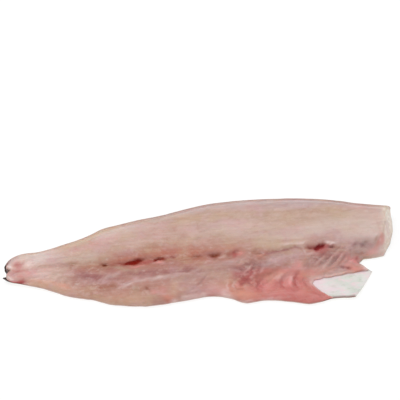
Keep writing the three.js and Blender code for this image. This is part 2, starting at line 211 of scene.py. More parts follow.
# Scales on the skin
SCALE_PITCH = 3.5
SCALE_ROW = 0.82  # from row to row, as a share of the pitch
SCALE_RISE = 0.24
SCALE_REACH = 0.66
SCALE_WIDTH = 0.86  # across the fillet, as a share of its length
SCALE_SLOPE = 2.4  # pitches along a scale for the whole of its height
SCALE_RIM = 0.15
SCALE_WANDER = 0.35

# How fine the meshes are
STEP_X = 0.62
FLESH_ROWS, FLESH_ARC_ROWS = 128, 14
UNDERSIDE_ROWS, UNDERSIDE_ARC_ROWS = 10, 8
SKIN_ROWS, SKIN_ARC_ROWS = 118, 28
INNER_ROWS, INNER_ARC_ROWS = 26, 8
WALL_STEP = 0.62
SMOOTH_ANGLE = math.radians(62)

# The upright walls that cut the pieces to their outlines
WALL_FOOT, SKIN_WALL_TOP, FLESH_WALL_TOP = -3, 18, 27
WALL_BELLY, WALL_BACK = -70.0, 75.0
WALL_RAGGED_WITHIN = 50  # the far corners of the walls stay straight


# Curves and small tools

def spline(knots, values, t):
    """A smooth curve through pairs of knot and value. Each may be a number or an array as long as t."""
    knots = [np.asarray(k, float) for k in knots]
    values = [np.asarray(v, float) for v in values]
    t = np.clip(np.asarray(t, float), knots[0], knots[-1])
    out = np.zeros(np.broadcast(t, knots[0], values[0]).shape)
    last = len(knots) - 1
    for i in range(last):
        t0, t1 = knots[i], knots[i + 1]
        before, v_before = (knots[i - 1], values[i - 1]) if i else (t1, values[i + 1])
        after, v_after = (knots[i + 2], values[i + 2]) if i + 2 <= last else (t0, values[i])
        wp = (t1 - t0) / 2 / (t0 - before)
        wn = (t1 - t0) / 2 / (after - t1)
        p = (t - t0) / (t1 - t0)
        p2, p3 = p * p, p * p * p
        run = (-wp * p3 + 2 * wp * p2 - wp * p) * v_before
        run = run + ((1 + wp) * p3 + (-1.5 - 2 * wp) * p2 + (-0.5 + wp) * p + 1) * values[i]
        run = run + ((-1 - wn) * p3 + (1.5 + wn) * p2 + 0.5 * p) * values[i + 1]
        run = run + (wn * p3 - wn * p2) * v_after
        inside = (t >= t0) & ((t < t1) | (i == last - 1))
        out = np.where(inside, run, out)
    return out


def curve(stations):
    knots, values = zip(*stations)
    return lambda x: spline(knots, values, x)


def smooth(t, low, high):
    t = np.clip((t - low) / (high - low), 0, 1)
    return t * t * (3 - 2 * t)


def lerp(a, b, t):
    return a + (b - a) * t


def noise(x, y, pitch_x, pitch_y, seed):
    """Smooth random bumps between -1 and 1, about as long and wide as the pitches."""
    size = 256
    table = np.random.default_rng(SEED + seed).uniform(-1, 1, (size, size))
    u, v = x / pitch_x + 3.7, y / pitch_y + 5.3
    iu, iv = np.floor(u).astype(int), np.floor(v).astype(int)
    fu, fv = u - iu, v - iv
    fu, fv = fu * fu * (3 - 2 * fu), fv * fv * (3 - 2 * fv)
    near = lerp(table[iu % size, iv % size], table[(iu + 1) % size, iv % size], fu)
    far = lerp(table[iu % size, (iv + 1) % size], table[(iu + 1) % size, (iv + 1) % size], fu)
    return lerp(near, far, fv)


def rough_noise(x, y, pitch_x, pitch_y, seed):
    """Bumps with two layers of smaller ones on them."""
    layers = [noise(x * 2**i, y * 2**i, pitch_x, pitch_y, seed + i) / 2**i for i in range(3)]
    return sum(layers) / 1.6


def warp(x, y, reach, pitch, seed):
    """Places moved about by up to the reach."""
    push_x, push_y = [reach * rough_noise(x, y, pitch, pitch, s) for s in (seed, seed + 7)]
    return x + push_x, y + push_y


def line_distance(points, x, y):
    """How far each point is from a polyline, and how far along it the nearest place is."""
    least = np.full(np.shape(x), np.inf)
    along = np.zeros(np.shape(x))
    run = 0.0
    for (ax, ay), (bx, by) in zip(points, points[1:]):
        dx, dy = bx - ax, by - ay
        size = math.hypot(dx, dy)
        t = np.clip(((x - ax) * dx + (y - ay) * dy) / size**2, 0, 1)
        d = np.hypot(x - ax - t * dx, y - ay - t * dy)
        along = np.where(d < least, run + t * size, along)
        least = np.minimum(least, d)
        run += size
    return least, along


def mound(x, y, cx, cy, length, width, height, turn=0):
    c, s = math.cos(math.radians(turn)), math.sin(math.radians(turn))
    along = ((x - cx) * c + (y - cy) * s) / length
    across = ((y - cy) * c - (x - cx) * s) / width
    return height * np.exp(-along * along - across * across)


def stroke(x, y, points, width, height, taper=4.0):
    """A soft line along points, which thins out at both of its ends."""
    d, along = line_distance(points, x, y)
    total = sum(math.dist(a, b) for a, b in zip(points, points[1:]))
    ends = smooth(along, -0.5, taper) * smooth(total - along, -0.5, taper)
    return height * np.exp(-((d / width) ** 2)) * ends


def rounded(distance, reach):
    t = 1 - np.clip(distance / reach, 0, 1)
    return np.sqrt(1 - t * t)


smooth_back, smooth_belly = curve(BACK_EDGE), curve(BELLY_EDGE)
back_arc, back_rim, belly_rim = curve(BACK_ARC), curve(BACK_RIM), curve(BELLY_RIM)
body_lines = [curve(c) for c in (BELLY_FLANK, BELLY_HUMP, BLOOD_LINE, BACK_SLOPE, CREST)]


def back_edge(x):
    return smooth_back(x) + EDGE_RAGGED * 0.5 * rough_noise(x, 0 * x, 9, 9, 11)


def belly_edge(x):
    return smooth_belly(x) + EDGE_RAGGED * rough_noise(x, 0 * x, 7, 7, 12)


# Shape of the fillet

def under_surface(x, share, turn, depth, inset):
    """A point of the outer skin, or depth inside it: share of the way across, then turn round the back."""
    belly, back, arc = belly_edge(x), back_edge(x), back_arc(x)
    flat_y = lerp(belly + inset, back - arc, share)
    lift = 1 - np.minimum(1, (flat_y - belly) / BELLY_ARC)
    flat_z = belly_rim(x) * lift * lift + depth
    arc_y = back - arc + (arc - depth - inset) * np.sin(turn)
    arc_z = depth + (back_rim(x) - depth) * (1 - np.cos(turn))
    return np.where(turn > 0, arc_y, flat_y), np.where(turn > 0, arc_z, flat_z)


def back_turn(x, y):
    """How far the outer skin has turned round the back at a place, and 0 on the flat."""
    return np.arcsin(np.clip((y - back_edge(x) + back_arc(x)) / back_arc(x), 0, 1))


def skin_height(x, y):
    """The height of the outer skin at a place, taking the rounded back as rising."""
    lift = 1 - np.clip((y - belly_edge(x)) / BELLY_ARC, 0, 1)
    return belly_rim(x) * lift * lift + back_rim(x) * (1 - np.cos(back_turn(x, y)))


def skin_arc_length(x, y):
    """How far round the outer skin a point is from the blood line, towards the back."""
    return np.minimum(y, back_edge(x) - back_arc(x)) + back_arc(x) * back_turn(x, y)


def crescent(x, y):
    dx, dy = x - CRESCENT["x"], y - CRESCENT["y"]
    angle = np.degrees(np.arctan2(dy, dx)) % 360
    middle = (CRESCENT["start"] + CRESCENT["end"]) / 2
    half = (CRESCENT["end"] - CRESCENT["start"]) / 2
    fade = np.maximum(0, 1 - ((angle - middle) / half) ** 2)
    off = (np.hypot(dx, dy) - CRESCENT["radius"]) / CRESCENT["width"]
    return CRESCENT["height"] * fade * np.exp(-off * off)


def rib_marks(x, y):
    m = RIB_MARKS
    upright = x - m["slant"] * (y - m["y"])
    places = np.linspace(m["start"], m["end"], m["count"])
    depth = sum(m["depth"] * np.exp(-(((upright - p) / m["width"]) ** 2)) for p in places)
    return -depth * np.exp(-(((y - m["y"]) / m["reach"]) ** 2))


def coarse_relief(x, y):
    return sum(mound(x, y, *m) for m in MOUNDS) + crescent(x, y) + rib_marks(x, y)


def body_height(x, y):
    belly, back = belly_edge(x), back_edge(x)
    h = [line(x) for line in body_lines]
    knots = [belly, FLANK_SHARE * belly, HUMP_SHARE * belly, 0 * belly, SLOPE_SHARE * back]
    knots += [CREST_SHARE * back, back]
    return spline(knots, [h[0] * BELLY_SHARE, *h, h[4] * BACK_SHARE], y)


def flap_lift(x, y):
    """How high the bare flap of skin curls, beyond the two arms of the cut."""
    outer_end, inner_end = LOWER_ARM[0], LOWER_ARM[-1]
    above_lower = (x > outer_end[0]) | (y > curve(LOWER_ARM[::-1])(x))
    below_upper = y < curve([inner_end] + UPPER_ARM)(x)
    curl = smooth(line_distance(FLAP_CUT, x, y)[0], FLAP_CLEAR, FLAP_CURL)
    ripple = 1 + FLAP_RIPPLE * np.sin(2 * math.pi * (x + y) / FLAP_WAVE)
    return np.where((x > inner_end[0]) & below_upper & above_lower, FLAP_LIFT * curl * ripple, 0)


def between_bands(x, y):
    """1 on the lines between bands of muscle, falling to 0 away from them."""
    edge = np.where(y > 0, back_edge(x), -belly_edge(x))
    turn = MUSCLE_TURN * edge
    off = np.abs(y) + 1.2 * rough_noise(x, y, 16, 12, 21)
    swept = np.where(off < turn, off, turn - MUSCLE_RETURN * (off - turn))
    phase = (x + MUSCLE_SWEEP * swept + 1.6 * rough_noise(x, y, 24, 18, 22)) / MUSCLE_PITCH
    off_line = np.abs(phase - np.round(phase)) * MUSCLE_PITCH
    return np.exp(-((off_line / MUSCLE_LINE) ** 2))


def tangle(x, y):
    """1 where loose fibres lie in a tangle, falling to 0 elsewhere."""
    wx, wy = warp(x, y, 1.6, 6, 33)
    return np.minimum(1, sum(mound(wx, wy, *bed) for bed in TANGLES))


def swollen(x, y, length, width, depth, turn=0):
    """The low rise round a slit, as a spot."""
    return x, y, length * SWELL["length"], width * SWELL["width"], SWELL["height"], turn


def fine_relief(x, y):
    wx, wy = warp(x, y, 0.7, 3.2, 31)
    z = sum(mound(wx, wy, *swollen(*gash)) for gash in SWOLLEN_GASHES)
    z = z - sum(mound(wx, wy, *gash) for gash in GASHES)
    z = z - sum(stroke(wx, wy, *groove) for groove in GROOVES)
    z = z + sum(stroke(wx, wy, *ridge) for ridge in RIDGES)
    z = z - MUSCLE_GROOVE * between_bands(x, y) * (0.5 + 0.5 * noise(x, y, 18, 9, 41))
    z = z + FIBRE * rough_noise(x, y, 11, 1.3, 51) + LUMPS * rough_noise(x, y, 12, 6, 61)
    belly_side = smooth(-y, 0, 8) * (0.35 + 0.65 * smooth(x, 150, 200))
    z = z + BELLY_LUMPS * belly_side * rough_noise(x, y, 4.2, 3.2, 71)
    return z + TANGLE_LUMPS * tangle(x, y) * rough_noise(x, y, 3.2, 2.4, 75)


def cut_distance(x, y):
    """How far a point of the cut side is from the cuts of the flesh: at the flap, the head and the tail."""
    cuts = (RAGGED_CUT + [FLESH_TIP], HEAD_CUT, FLESH_TAIL)
    return [line_distance(cut, x, y)[0] for cut in cuts]


def head_face(x, y):
    """The height of the slanted cut at the head end over a place, above the lip of the flesh."""
    head_xs, head_ys = zip(*HEAD_CUT)
    inward = np.interp(y, head_ys, head_xs) - FLESH_INSET - x
    return inward / np.maximum(CUT_SLOPE * smooth(y, -17, -5), 0.02)


def lower_of(a, b, reach):
    """The lower of two heights, with a rounded edge where they meet."""
    return np.minimum(a, b) - reach * np.log1p(np.exp(-np.abs(a - b) / reach))


def top_height(x, y, floor, inset):
    full = body_height(x, y) + coarse_relief(x, y)
    taper = lerp(THIN_SHARE, 1, smooth(line_distance(THIN_EDGE, x, y)[0], 0, THIN_TAPER))
    by_back = rounded(back_edge(x) - inset - y, np.minimum(SHOULDER, back_arc(x)))
    by_belly = rounded(y - belly_edge(x) - inset, BELLY_ROUNDING)
    near_tail = lerp(TAIL_SHARE, 1, smooth(x, 0, TAIL_BLEND))
    z = floor + LIP + np.maximum(0, full - floor - LIP) * taper * by_back * by_belly
    z = z * near_tail + fine_relief(x, y) * smooth(np.minimum(by_back, by_belly), 0, 0.7)
    from_flap, from_head, from_tail = cut_distance(x, y)
    fall = ROUND_CUT * (1 - rounded(np.minimum(from_flap, from_tail), ROUND_CUT))
    rounder_below = lerp(1, 0.3, smooth(y, -3, 4))
    fall = np.maximum(fall, rounder_below * ROUND_CUT * (1 - rounded(from_head, ROUND_CUT)))
    faced = lower_of(z, floor + LIP + head_face(x, y), ROUND_HEAD)
    return np.maximum(np.where(x > LENGTH / 2, faced, z) - fall, floor + LEAST_FLESH)


def scale_cells(s, t):
    """For each point of the skin: its scale's height, its nearness to the scale's free edge, and the
    scale's own random number. Scales lie in staggered rows and overlap towards the tail."""
    s = s + SCALE_WANDER * rough_noise(s, t, 14, 14, 81)
    t = t + SCALE_WANDER * rough_noise(s, t, 14, 14, 82)
    u, v = s / SCALE_PITCH, t / (SCALE_PITCH * SCALE_ROW)
    row0, best = np.floor(v), np.full(s.shape, -np.inf)
    height, rim, number = np.zeros(s.shape), np.zeros(s.shape), np.zeros(s.shape)
    table = np.random.default_rng(SEED + 90).random((512, 512))
    for row in (row0 - 1, row0, row0 + 1, row0 + 2):
        stagger = 0.5 * (row % 2)
        base = np.floor(u - stagger)
        for column in (base - 1, base, base + 1, base + 2):
            du, dv = u - column - stagger, (v - row) * SCALE_ROW
            edge = SCALE_REACH - np.hypot(du * SCALE_WIDTH, dv)
            inside = (edge > 0) & (column + stagger > best)
            best = np.where(inside, column + stagger, best)
            height = np.where(inside, 0.5 - du / SCALE_SLOPE, height)
            rim = np.where(inside, np.exp(-((edge / SCALE_RIM) ** 2)), rim)
            draw = table[column.astype(int) % 512, row.astype(int) % 512]
            number = np.where(inside, draw, number)
    return np.clip(height, 0, 1), rim, number


# Meshes

def across_rows(flat_rows, arc_rows):
    """For each row of a grid, its share of the way across and how far it has turned round the back."""
    flat = [(i / flat_rows, 0.0) for i in range(flat_rows + 1)]
    round_back = [(1.0, (i + 1) / arc_rows * math.pi / 2) for i in range(arc_rows)]
    return np.array(flat + round_back)


def grid_points(rows, face):
    """A grid of points on a face, a little past both ends, with one row for each entry of rows."""
    start, end = -4.0, LENGTH + 4.0
    xs = np.linspace(start, end, int((end - start) / STEP_X) + 1)
    share, turn = rows[:, 0][:, None], rows[:, 1][:, None]
    x = np.broadcast_to(xs[None, :], (len(rows), len(xs)))
    y, z = face(x, share, turn)
    return np.stack([x, y, z], axis=-1)


def new_object(name, data):
    thing = bpy.data.objects.new(name, data)
    bpy.context.scene.collection.objects.link(thing)
    return thing


def mesh_object(name, points, faces):
    mesh = bpy.data.meshes.new(name)
    mesh.from_pydata(points, [], faces)
    mesh.update()
    return new_object(name, mesh)


def quads(numbers):
    """The faces over a grid of point numbers."""
    corners = [numbers[:-1, :-1], numbers[:-1, 1:], numbers[1:, 1:], numbers[1:, :-1]]
    return np.stack(corners, axis=-1).reshape(-1, 4).tolist()


def resampled(points):
    """A polyline with a point at about every step of the walls."""
    out = []
    for a, b in zip(points, points[1:]):
        count = max(1, round(math.dist(a, b) / WALL_STEP))
        out += [(lerp(a[0], b[0], i / count), lerp(a[1], b[1], i / count)) for i in range(count)]
    return out + [points[-1]]


def outline_of(tail, *head_parts):
    """The outline of a piece in plan, anticlockwise: belly side, head end, back side, tail end."""
    right = [point for part in head_parts for point in resampled(part)]
    left = resampled(tail)[::-1]
    belly_side = [(left[-1][0], WALL_BELLY), (right[0][0], WALL_BELLY)]
    back_side = [(right[-1][0], WALL_BACK), (left[0][0], WALL_BACK)]
    return belly_side + right + back_side + left


def prism(name, outline, ragged, top):
    """A closed upright wall round an outline."""
    heights = np.linspace(WALL_FOOT, top, int((top - WALL_FOOT) / WALL_STEP) + 1)
    xy = np.array(outline)
    side = np.roll(xy, -1, axis=0) - np.roll(xy, 1, axis=0)
    normal = np.stack([side[:, 1], -side[:, 0]], axis=-1)
    normal /= np.maximum(np.linalg.norm(normal, axis=1), 1e-6)[:, None]
    run = np.cumsum(np.hypot(*(xy - np.roll(xy, 1, axis=0)).T))
    near = (np.abs(xy[:, 1]) < WALL_RAGGED_WITHIN).astype(float)
    rings = []
    for z in heights:
        level = np.full(len(run), z)
        push = ragged * near * rough_noise(run, level, 3.4, 2.2, 101)
        rings.append(np.column_stack([xy + normal * push[:, None], level]))
    numbers = np.arange(len(heights) * len(run)).reshape(len(heights), len(run))
    foot_and_top = [numbers[0, ::-1].tolist(), numbers[-1].tolist()]
    faces = foot_and_top + quads(np.hstack([numbers, numbers[:, :1]]))
    return mesh_object(name, np.concatenate(rings), faces)


def trimmed(piece, cutter):
    """The piece cut to what lies inside the cutter."""
    cut = piece.modifiers.new("cut", "BOOLEAN")
    cut.operation = "INTERSECT"
    cut.solver = "MANIFOLD"
    cut.object = cutter
    graph = bpy.context.evaluated_depsgraph_get()
    whole = bpy.data.meshes.new_from_object(piece.evaluated_get(graph))
    piece.modifiers.clear()
    old = piece.data
    piece.data = whole
    bpy.data.meshes.remove(old)
    bpy.data.objects.remove(cutter)
    return piece


def closed_piece(name, top, bottom, outline, ragged, wall_top):
    """A closed mesh between two grids that have the same columns, cut to the outline."""
    points = np.concatenate([top, bottom[::-1]])
    numbers = np.arange(points.shape[0] * points.shape[1]).reshape(points.shape[:2])
    ends = [numbers[:, 0].tolist(), numbers[::-1, -1].tolist()]
    faces = quads(np.vstack([numbers, numbers[:1]])) + ends
    piece = mesh_object(name, points.reshape(-1, 3), faces)
    return trimmed(piece, prism(name + "_outline", outline, ragged, wall_top))


def make_skin():
    def outer(x, share, turn):
        y, z = under_surface(x, share, turn, 0.0, 0.0)
        height = scale_cells(x, skin_arc_length(x, y))[0]
        by_rims = smooth(math.pi / 2 - turn, 0, 0.2) * np.where(turn > 0, 1, smooth(share, 0, 0.02))
        sunk = SCALE_RISE * (1 - height) * by_rims
        return y - sunk * np.sin(turn), z + flap_lift(x, y) + sunk * np.cos(turn)

    def inner(x, share, turn):
        y, z = under_surface(x, share, turn, SKIN_THICKNESS, 0.0)
        return y, z + flap_lift(x, y)

    top = grid_points(across_rows(INNER_ROWS, INNER_ARC_ROWS), inner)
    bottom = grid_points(across_rows(SKIN_ROWS, SKIN_ARC_ROWS), outer)
    outline = outline_of(TAIL_END, HEAD_END)
    return closed_piece("scaled_skin", top, bottom, outline, SKIN_RAGGED, SKIN_WALL_TOP)


def make_flesh():
    depth = SKIN_THICKNESS - FLESH_SINK

    def bottom_face(x, share, turn):
        return under_surface(x, share, turn, depth, FLESH_INSET)

    def top_face(x, share, turn):
        y, floor = bottom_face(x, share, turn)
        return y, top_height(x, y, floor, FLESH_INSET)

    top = grid_points(across_rows(FLESH_ROWS, FLESH_ARC_ROWS), top_face)
    bottom = grid_points(across_rows(UNDERSIDE_ROWS, UNDERSIDE_ARC_ROWS), bottom_face)
    head = [(x - FLESH_INSET, y) for x, y in NOTCH + LOIN_END]
    outline = outline_of(FLESH_TAIL, RAGGED_CUT, [BY_TIP, FLESH_TIP] + head)
    return closed_piece("raw_flesh", top, bottom, outline, FLESH_RAGGED, FLESH_WALL_TOP)


# Washes of colour on the cut side, laid over each other in this order. Each has its colour, how much of
# it covers, its spots as above, and its strokes: points, width, strength

WASHES = {
    "pearl": dict(colour=(217, 197, 190), cover=0.9, spots=[
        (24, 9, 13, 7, 1), (22, 14, 12, 6, 0.8), (8, 12, 8, 4, 0.6, 30), (38, 12, 12, 5, 0.5, 8),
        (30, -4, 12, 4, 0.5, -10), (48, 6, 12, 5, 0.2), (112, 33, 18, 7, 0.9, 8), (84, 27, 20, 7, 0.7, 22),
        (190, 21, 16, 6, 0.5), (225, 10, 22, 5, 0.6, 2), (250, 14, 26, 6, 0.8, 2), (270, 22, 20, 6, 0.4),
        (300, 14, 22, 10, 1, 4), (318, 28, 9, 16, 0.9), (300, 30, 20, 8, 0.3), (286, 8, 12, 5, 0.5),
    ]),
    "lavender": dict(colour=(192, 168, 170), cover=0.85, spots=[
        (162, 24, 18, 6, 0.3), (101, 8, 9, 3.4, 0.8), (66, 8.4, 14, 3.4, 0.6, 3), (222, 17, 12, 4, 0.35),
        (232, 40, 22, 5, 0.5), (200, 39, 20, 5, 0.4), (248, 38, 12, 5, 0.5), (5, 11.6, 5, 3, 0.8, 40),
        (36, 10, 14, 4, 0.3, 8), (262, 8, 10, 3, 0.4), (272, 9, 5, 4, 0.5, 60), (294, 5, 8, 2.4, 0.3),
    ], strokes=[
        # this stroke along the back edge is partly painted sheen
        ([(96, 38), (130, 41), (150, 45), (175, 48.6), (200, 49), (235, 48.6), (262, 45),
         (292, 40)], 6.5, 0.8),
    ]),
    "tan": dict(colour=(186, 152, 128), cover=0.85, spots=[
        (140, 27, 30, 8, 0.42, 4), (252, 27, 24, 6, 0.35), (222, 29, 20, 4.6, 0.35, -2),
        (62, 11, 14, 3.4, 0.4, 8), (84, 17, 16, 5, 0.35, 10), (122, 12, 9, 3, 0.8), (136, 13, 12, 3, 0.5),
        (160, 15, 34, 5, 0.35), (280, 28, 20, 5, 0.3), (190, 31, 24, 4, 0.4), (66, 26, 16, 3, 0.4, 20),
    ], strokes=[
        ([(112, 35), (132, 34), (150, 35), (172, 36.4), (196, 36), (222, 34), (252, 32.6),
         (300, 30)], 2.6, 0.5),
    ]),
    "straw": dict(colour=(214, 186, 156), cover=0.8, spots=[
        (58, 22, 16, 4, 0.7, 26), (80, 32, 16, 3.4, 0.7, 24), (100, 37, 14, 3, 0.5, 12),
        (130, 40, 20, 3, 0.35, 6), (160, 35, 20, 4, 0.35, 6), (300, 22, 16, 5, 0.3), (312, 12, 7, 8, 0.5),
        (96, 12, 14, 3, 0.3, 6), (240, 20, 24, 4, 0.3), (316, 34, 6, 4, 0.4), (39, -8, 6, 2, 0.8, -10),
        # the spots at y 5 and 10 from x 204 to 228 are partly painted light on a slope that faces away from
        # the lamps
        (204, 5, 14, 3, 0.7, 2), (228, 5, 16, 3, 0.8, 2), (214, 10, 26, 4, 0.4), (176, -1, 5, 3, 0.3),
        (290, 11, 12, 4, 0.4),
    ]),
    "rose": dict(colour=(212, 160, 158), cover=0.8, spots=[
        (76, 18, 12, 4.4, 0.8, 12), (57, 14, 11, 4, 0.6, 10), (124, 24, 20, 7, 0.4),
        (89, 23, 10, 4, 0.4, 14), (12, 5, 9, 7, 1), (22, -3, 9, 5, 0.8, -20), (234, 15, 13, 4.4, 0.5),
        (194, 22, 12, 5, 0.35), (296, 34, 20, 4, 0.6, -4), (268, 7, 9, 5, 0.6, 40), (288, 12, 8, 4, 0.3),
        (151, 25, 10, 6, 0.3), (204, 40, 10, 4, 0.4), (115, 34, 9, 4, 0.4), (150, 12, 22, 3.4, 0.4),
        (32, 0, 12, 4, 0.5), (101, 7, 8, 2.4, 0.5), (306, 24, 12, 6, 0.3), (254, 7, 6, 3.4, 0.7),
        (310, 6, 5, 5, 0.7, 60), (300, -3, 9, 3, 0.7, 8), (36, 5, 14, 3, 0.4), (169, -24, 11, 8, 0.8),
        (160, -20, 8, 4, 0.4, 30),
    ]),
    "belly": dict(colour=(186, 136, 124), cover=1),
    "edge": dict(colour=(204, 162, 138), cover=0.9, spots=[
        (32, -11, 12, 3, 0.7, -16), (100, -33, 20, 4, 0.8, -6), (52, -19, 12, 3, 0.3, -20),
        (106, -28, 10, 5, 0.4), (137, -24, 3, 5, 0.9), (134, -31, 6, 3, 0.6), (127, -25, 7, 3.4, 0.3),
        (90, -29.6, 9, 3, 0.3, -12),
    ], strokes=[
        ([(18, -10.6), (35, -15), (52, -22), (72, -28), (88, -33), (104, -36), (120, -37)], 2.4, 0.6),
    ]),
    # The crease wash darkens the flesh above the blood line: partly its own darker tone, partly painted shade
    # where the flesh slopes down into the crease
    "crease": dict(colour=(176, 104, 84), cover=1),
    "brown": dict(colour=(164, 106, 86), cover=0.85, spots=[
        (55.5, 2, 4.4, 2.8, 0.9), (66, -0.6, 9, 3, 0.8), (83, -1, 8, 3.6, 1.1), (77, -4, 9, 3, 0.6),
        (38, 2.2, 12, 1.6, 0.3, -2), (108.4, -26, 3, 1.8, 0.8), (114.6, -25, 3.4, 1.8, 0.8, -30),
        (88, -20, 5, 1.4, 0.9), (79, -19.6, 13, 6, 0.95, -8), (158, 0, 7, 3, 0.3),
        (171, -1, 6, 3, 1.2, -30), (205, -5, 8, 2, 0.5, -10), (222, -0.4, 9, 1.1, 1.2),
        (182, -1.4, 2.2, 3, 0.8, 10), (204, -1, 5, 1.2, 0.6, -16), (212, -2.4, 3, 1.2, 0.5, 10),
        (236, 1.2, 8, 1, 0.4, 6), (94, -0.6, 8, 3.2, 1.5, 4), (120, -23, 9, 2, 0.5),
        (292, -3.8, 7, 1.2, 0.7), (176, -14, 8, 3, 0.4), (133, -2, 9, 5, 0.7), (262, -16, 10, 2, 0.2, 12),
        (192, -21, 12, 4, 0.4, 10), (243, -12, 2.4, 3, 0.4), (186, 1, 5, 3, 0.4), (143, -2, 9, 4, 0.5),
        (117, 0, 9, 4, 0.5), (136, -6, 22, 2.6, 0.3), (102, -6, 6, 2, 0.5), (232, 0, 14, 3, 0.3),
        (208, -1, 8, 3, 0.3), (204, 2, 10, 2, 0.5),
    ]),
    "olive": dict(colour=(180, 158, 132), cover=0.7, spots=[
        (96, -6, 6, 2, 0.8, -28), (107, -7.8, 8, 1.3, 0.4), (105, -25, 4, 4, 0.8), (294, -4.8, 7, 1, 0.5),
        (157, 14, 4, 3, 0.3, 60), (13.4, -3.8, 5, 1.2, 0.4, -6), (218, -2.2, 8, 1.2, 0.3),
        (258, -13, 8, 2, 0.1, 20), (303.4, 5, 4, 1.2, 0.8, 50), (300, -3.6, 6, 1.1, 0.8, 4),
        (230, 2, 8, 1.4, 0.4, 6), (247, -9, 3, 5, 0.3),
    ]),
    # Mauve is partly the flesh's own tone and partly painted shade in hollows and in the grooves between the
    # rib marks
    "mauve": dict(colour=(158, 98, 98), cover=0.8, spots=[
        (63, -8, 8, 5, 0.65, -20), (72, -11, 9, 4, 0.8, -8), (86, -13, 12, 3.4, 0.7), (88, -7, 4, 3, 0.5),
        (122, -11, 18, 2.8, 0.8), (116, -14, 10, 1.6, 0.35), (146, -11.6, 12, 2.4, 0.8, 4),
        (104, -10.6, 9, 2, 0.6), (262, -6, 14, 5, 0.25, 20), (280, -0.4, 9, 2.4, 0.3),
        (291.6, 2.2, 4.4, 1.6, 0.9, 14), (267, 1.6, 6, 2.2, 0.7), (284, 1, 3, 1.4, 0.6, 30),
        (274, -1, 5, 1.2, 0.6, -10), (283, -7.4, 7, 2, 0.1, 20), (190, -12.6, 9, 1.4, 0.6, -6),
        (202, -9, 6, 3.4, 0.3, 14), (203, -16, 7, 3, 0.5, 10), (172, -12.6, 14, 1.6, 0.3),
        (216, -13, 12, 1.6, 0.3, 4), (246, -10, 4, 5, 0.2), (160, -21, 14, 3, 0.2, 30), (9, -1, 5, 1.3, 1),
        (19, 0.4, 2.4, 1.6, 0.35), (100, -22, 5, 2, 0.3), (210, -8.6, 4, 2, 0.25, -40),
        (98, -18, 4, 2, 0.4),
    ], strokes=[
        ([(211, -1.6), (222, -0.6), (230, 0.8), (237, 1.8), (241, 0.8), (244, -2)], 0.9, 1),
        (RIB_LINES[0], 1, 0.7), (RIB_LINES[1], 1, 0.8), (RIB_LINES[2], 1, 0.7), (RIB_LINES[3], 0.9, 0.7),
        (RIB_LINES[4], 0.8, 0.3), ([(144.4, -33.4), (153, -25.8), (161.5, -17.8)], 1, 0.35),
        ([(245, -13), (250, -8.6), (254, -5.4)], 0.8, 0.6),
        ([(108, -14.6), (114, -14.8), (122, -14.2)], 0.9, 0.25),
        ([(27, 3), (38, 2.2), (52, 1.6)], 1.3, 0.3), ([(154, -33), (161, -26), (168, -20)], 0.9, 0.3),
    ]),
    "lobe": dict(colour=(194, 158, 156), cover=0.8, spots=[
        (219, -5, 6, 3, 1, 8), (216, -9, 8, 3, 0.6, 8), (229, -5, 9, 3.2, 0.9, 6), (237, -5, 5, 3, 0.6),
        (150, -17, 14, 2.6, 0.5, 6), (183, -7, 9, 2.6, 0.6, 10), (124, -16.4, 16, 1.8, 0.6, 2),
        (100, -19.6, 9, 1.8, 0.5, 14), (150, -28, 6, 5, 1, 20), (143, -20, 9, 3, 0.3),
        (210, -10.4, 6, 1.8, 0.8), (200, 14, 12, 4, 0.3), (88, -11.6, 9, 1.5, 0.6, 20),
        (164, -17, 9, 4, 0.2), (114, -14, 6, 1.6, 0.5), (271, 7, 3, 5, 0.6, 10), (282, -4, 12, 4, 0.6, 12),
        (298.6, 1.4, 3.4, 1.3, 1.2, 10), (280, 3.6, 6, 1.3, 0.6), (288, 5, 5, 1.3, 0.5),
        (268, -16, 18, 5, 1.1, 8), (296, 2, 8, 3, 0.4), (258, -9, 12, 5, 0.4, 20),
        (176, -8.6, 12, 2.6, 0.5), (208, -9.6, 5, 2.4, 0.4), (192, -5, 6, 3, 0.4),
    ]),
    "flushed": dict(colour=(206, 120, 114), cover=1, spots=[
        (222, -34, 14, 5, 0.2, -4), (244, -42, 12, 3, 0.2),
    ]),
    "red": dict(colour=(176, 80, 80), cover=0.85, spots=[
        (188, -16.4, 5, 2.2, 0.6, 20), (194, -22, 7, 2, 0.7, 4), (197, -18, 6, 1.6, 0.8, 28),
        (190, -25, 2, 3, 0.4), (204, -28, 3, 7, 0.5, -10), (236, -38, 14, 4, 0.2),
        (187.4, 1, 5, 2.6, 0.85, 10), (187, -3, 2.4, 3, 0.3), (118, -0.4, 6, 1.8, 0.6, 4),
        (112, -1.6, 6, 2.4, 0.5, 8), (136, 4, 7, 3, 0.4), (96, 0, 7, 2.4, 0.4), (12, 7, 4.4, 3, 0.5),
        (9.4, -7, 5.4, 1.6, 1.3, -18), (15, -8, 4.6, 1.8, 1.1, -14), (11, 0.6, 6, 2.2, 0.6),
        (286, -7, 3, 1.2, 0.6, 30), (279.4, -8, 1.8, 1.2, 0.4, 30), (273.4, -14, 2.6, 1, 0.6),
        (278.6, -15.4, 3, 1.3, 0.7, -10), (302, 0, 5, 1.6, 0.3, 30), (256, -0.6, 7, 4, 1.2),
        (171, 0, 5, 3, 0.4), (288.4, -18.4, 4, 0.9, 0.7, 10), (208, -41, 12, 1.2, 0.1),
        (198, -14.6, 3, 0.9, 0.4, 40), (263, 2, 4, 2.4, 0.6), (218, -25, 2, 5, 0.25), (247, 1.4, 5, 2, 0.5),
        (230, -34, 6, 3, 0.15), (4, 1, 2.4, 1.2, 0.4), (131.4, -34, 3.4, 1.8, 0.6),
        (306, 2.6, 5, 1.5, 0.6, 44), (300.6, -1.2, 4, 1.3, 0.4, 14), (10, 7.6, 3, 2, 0.25),
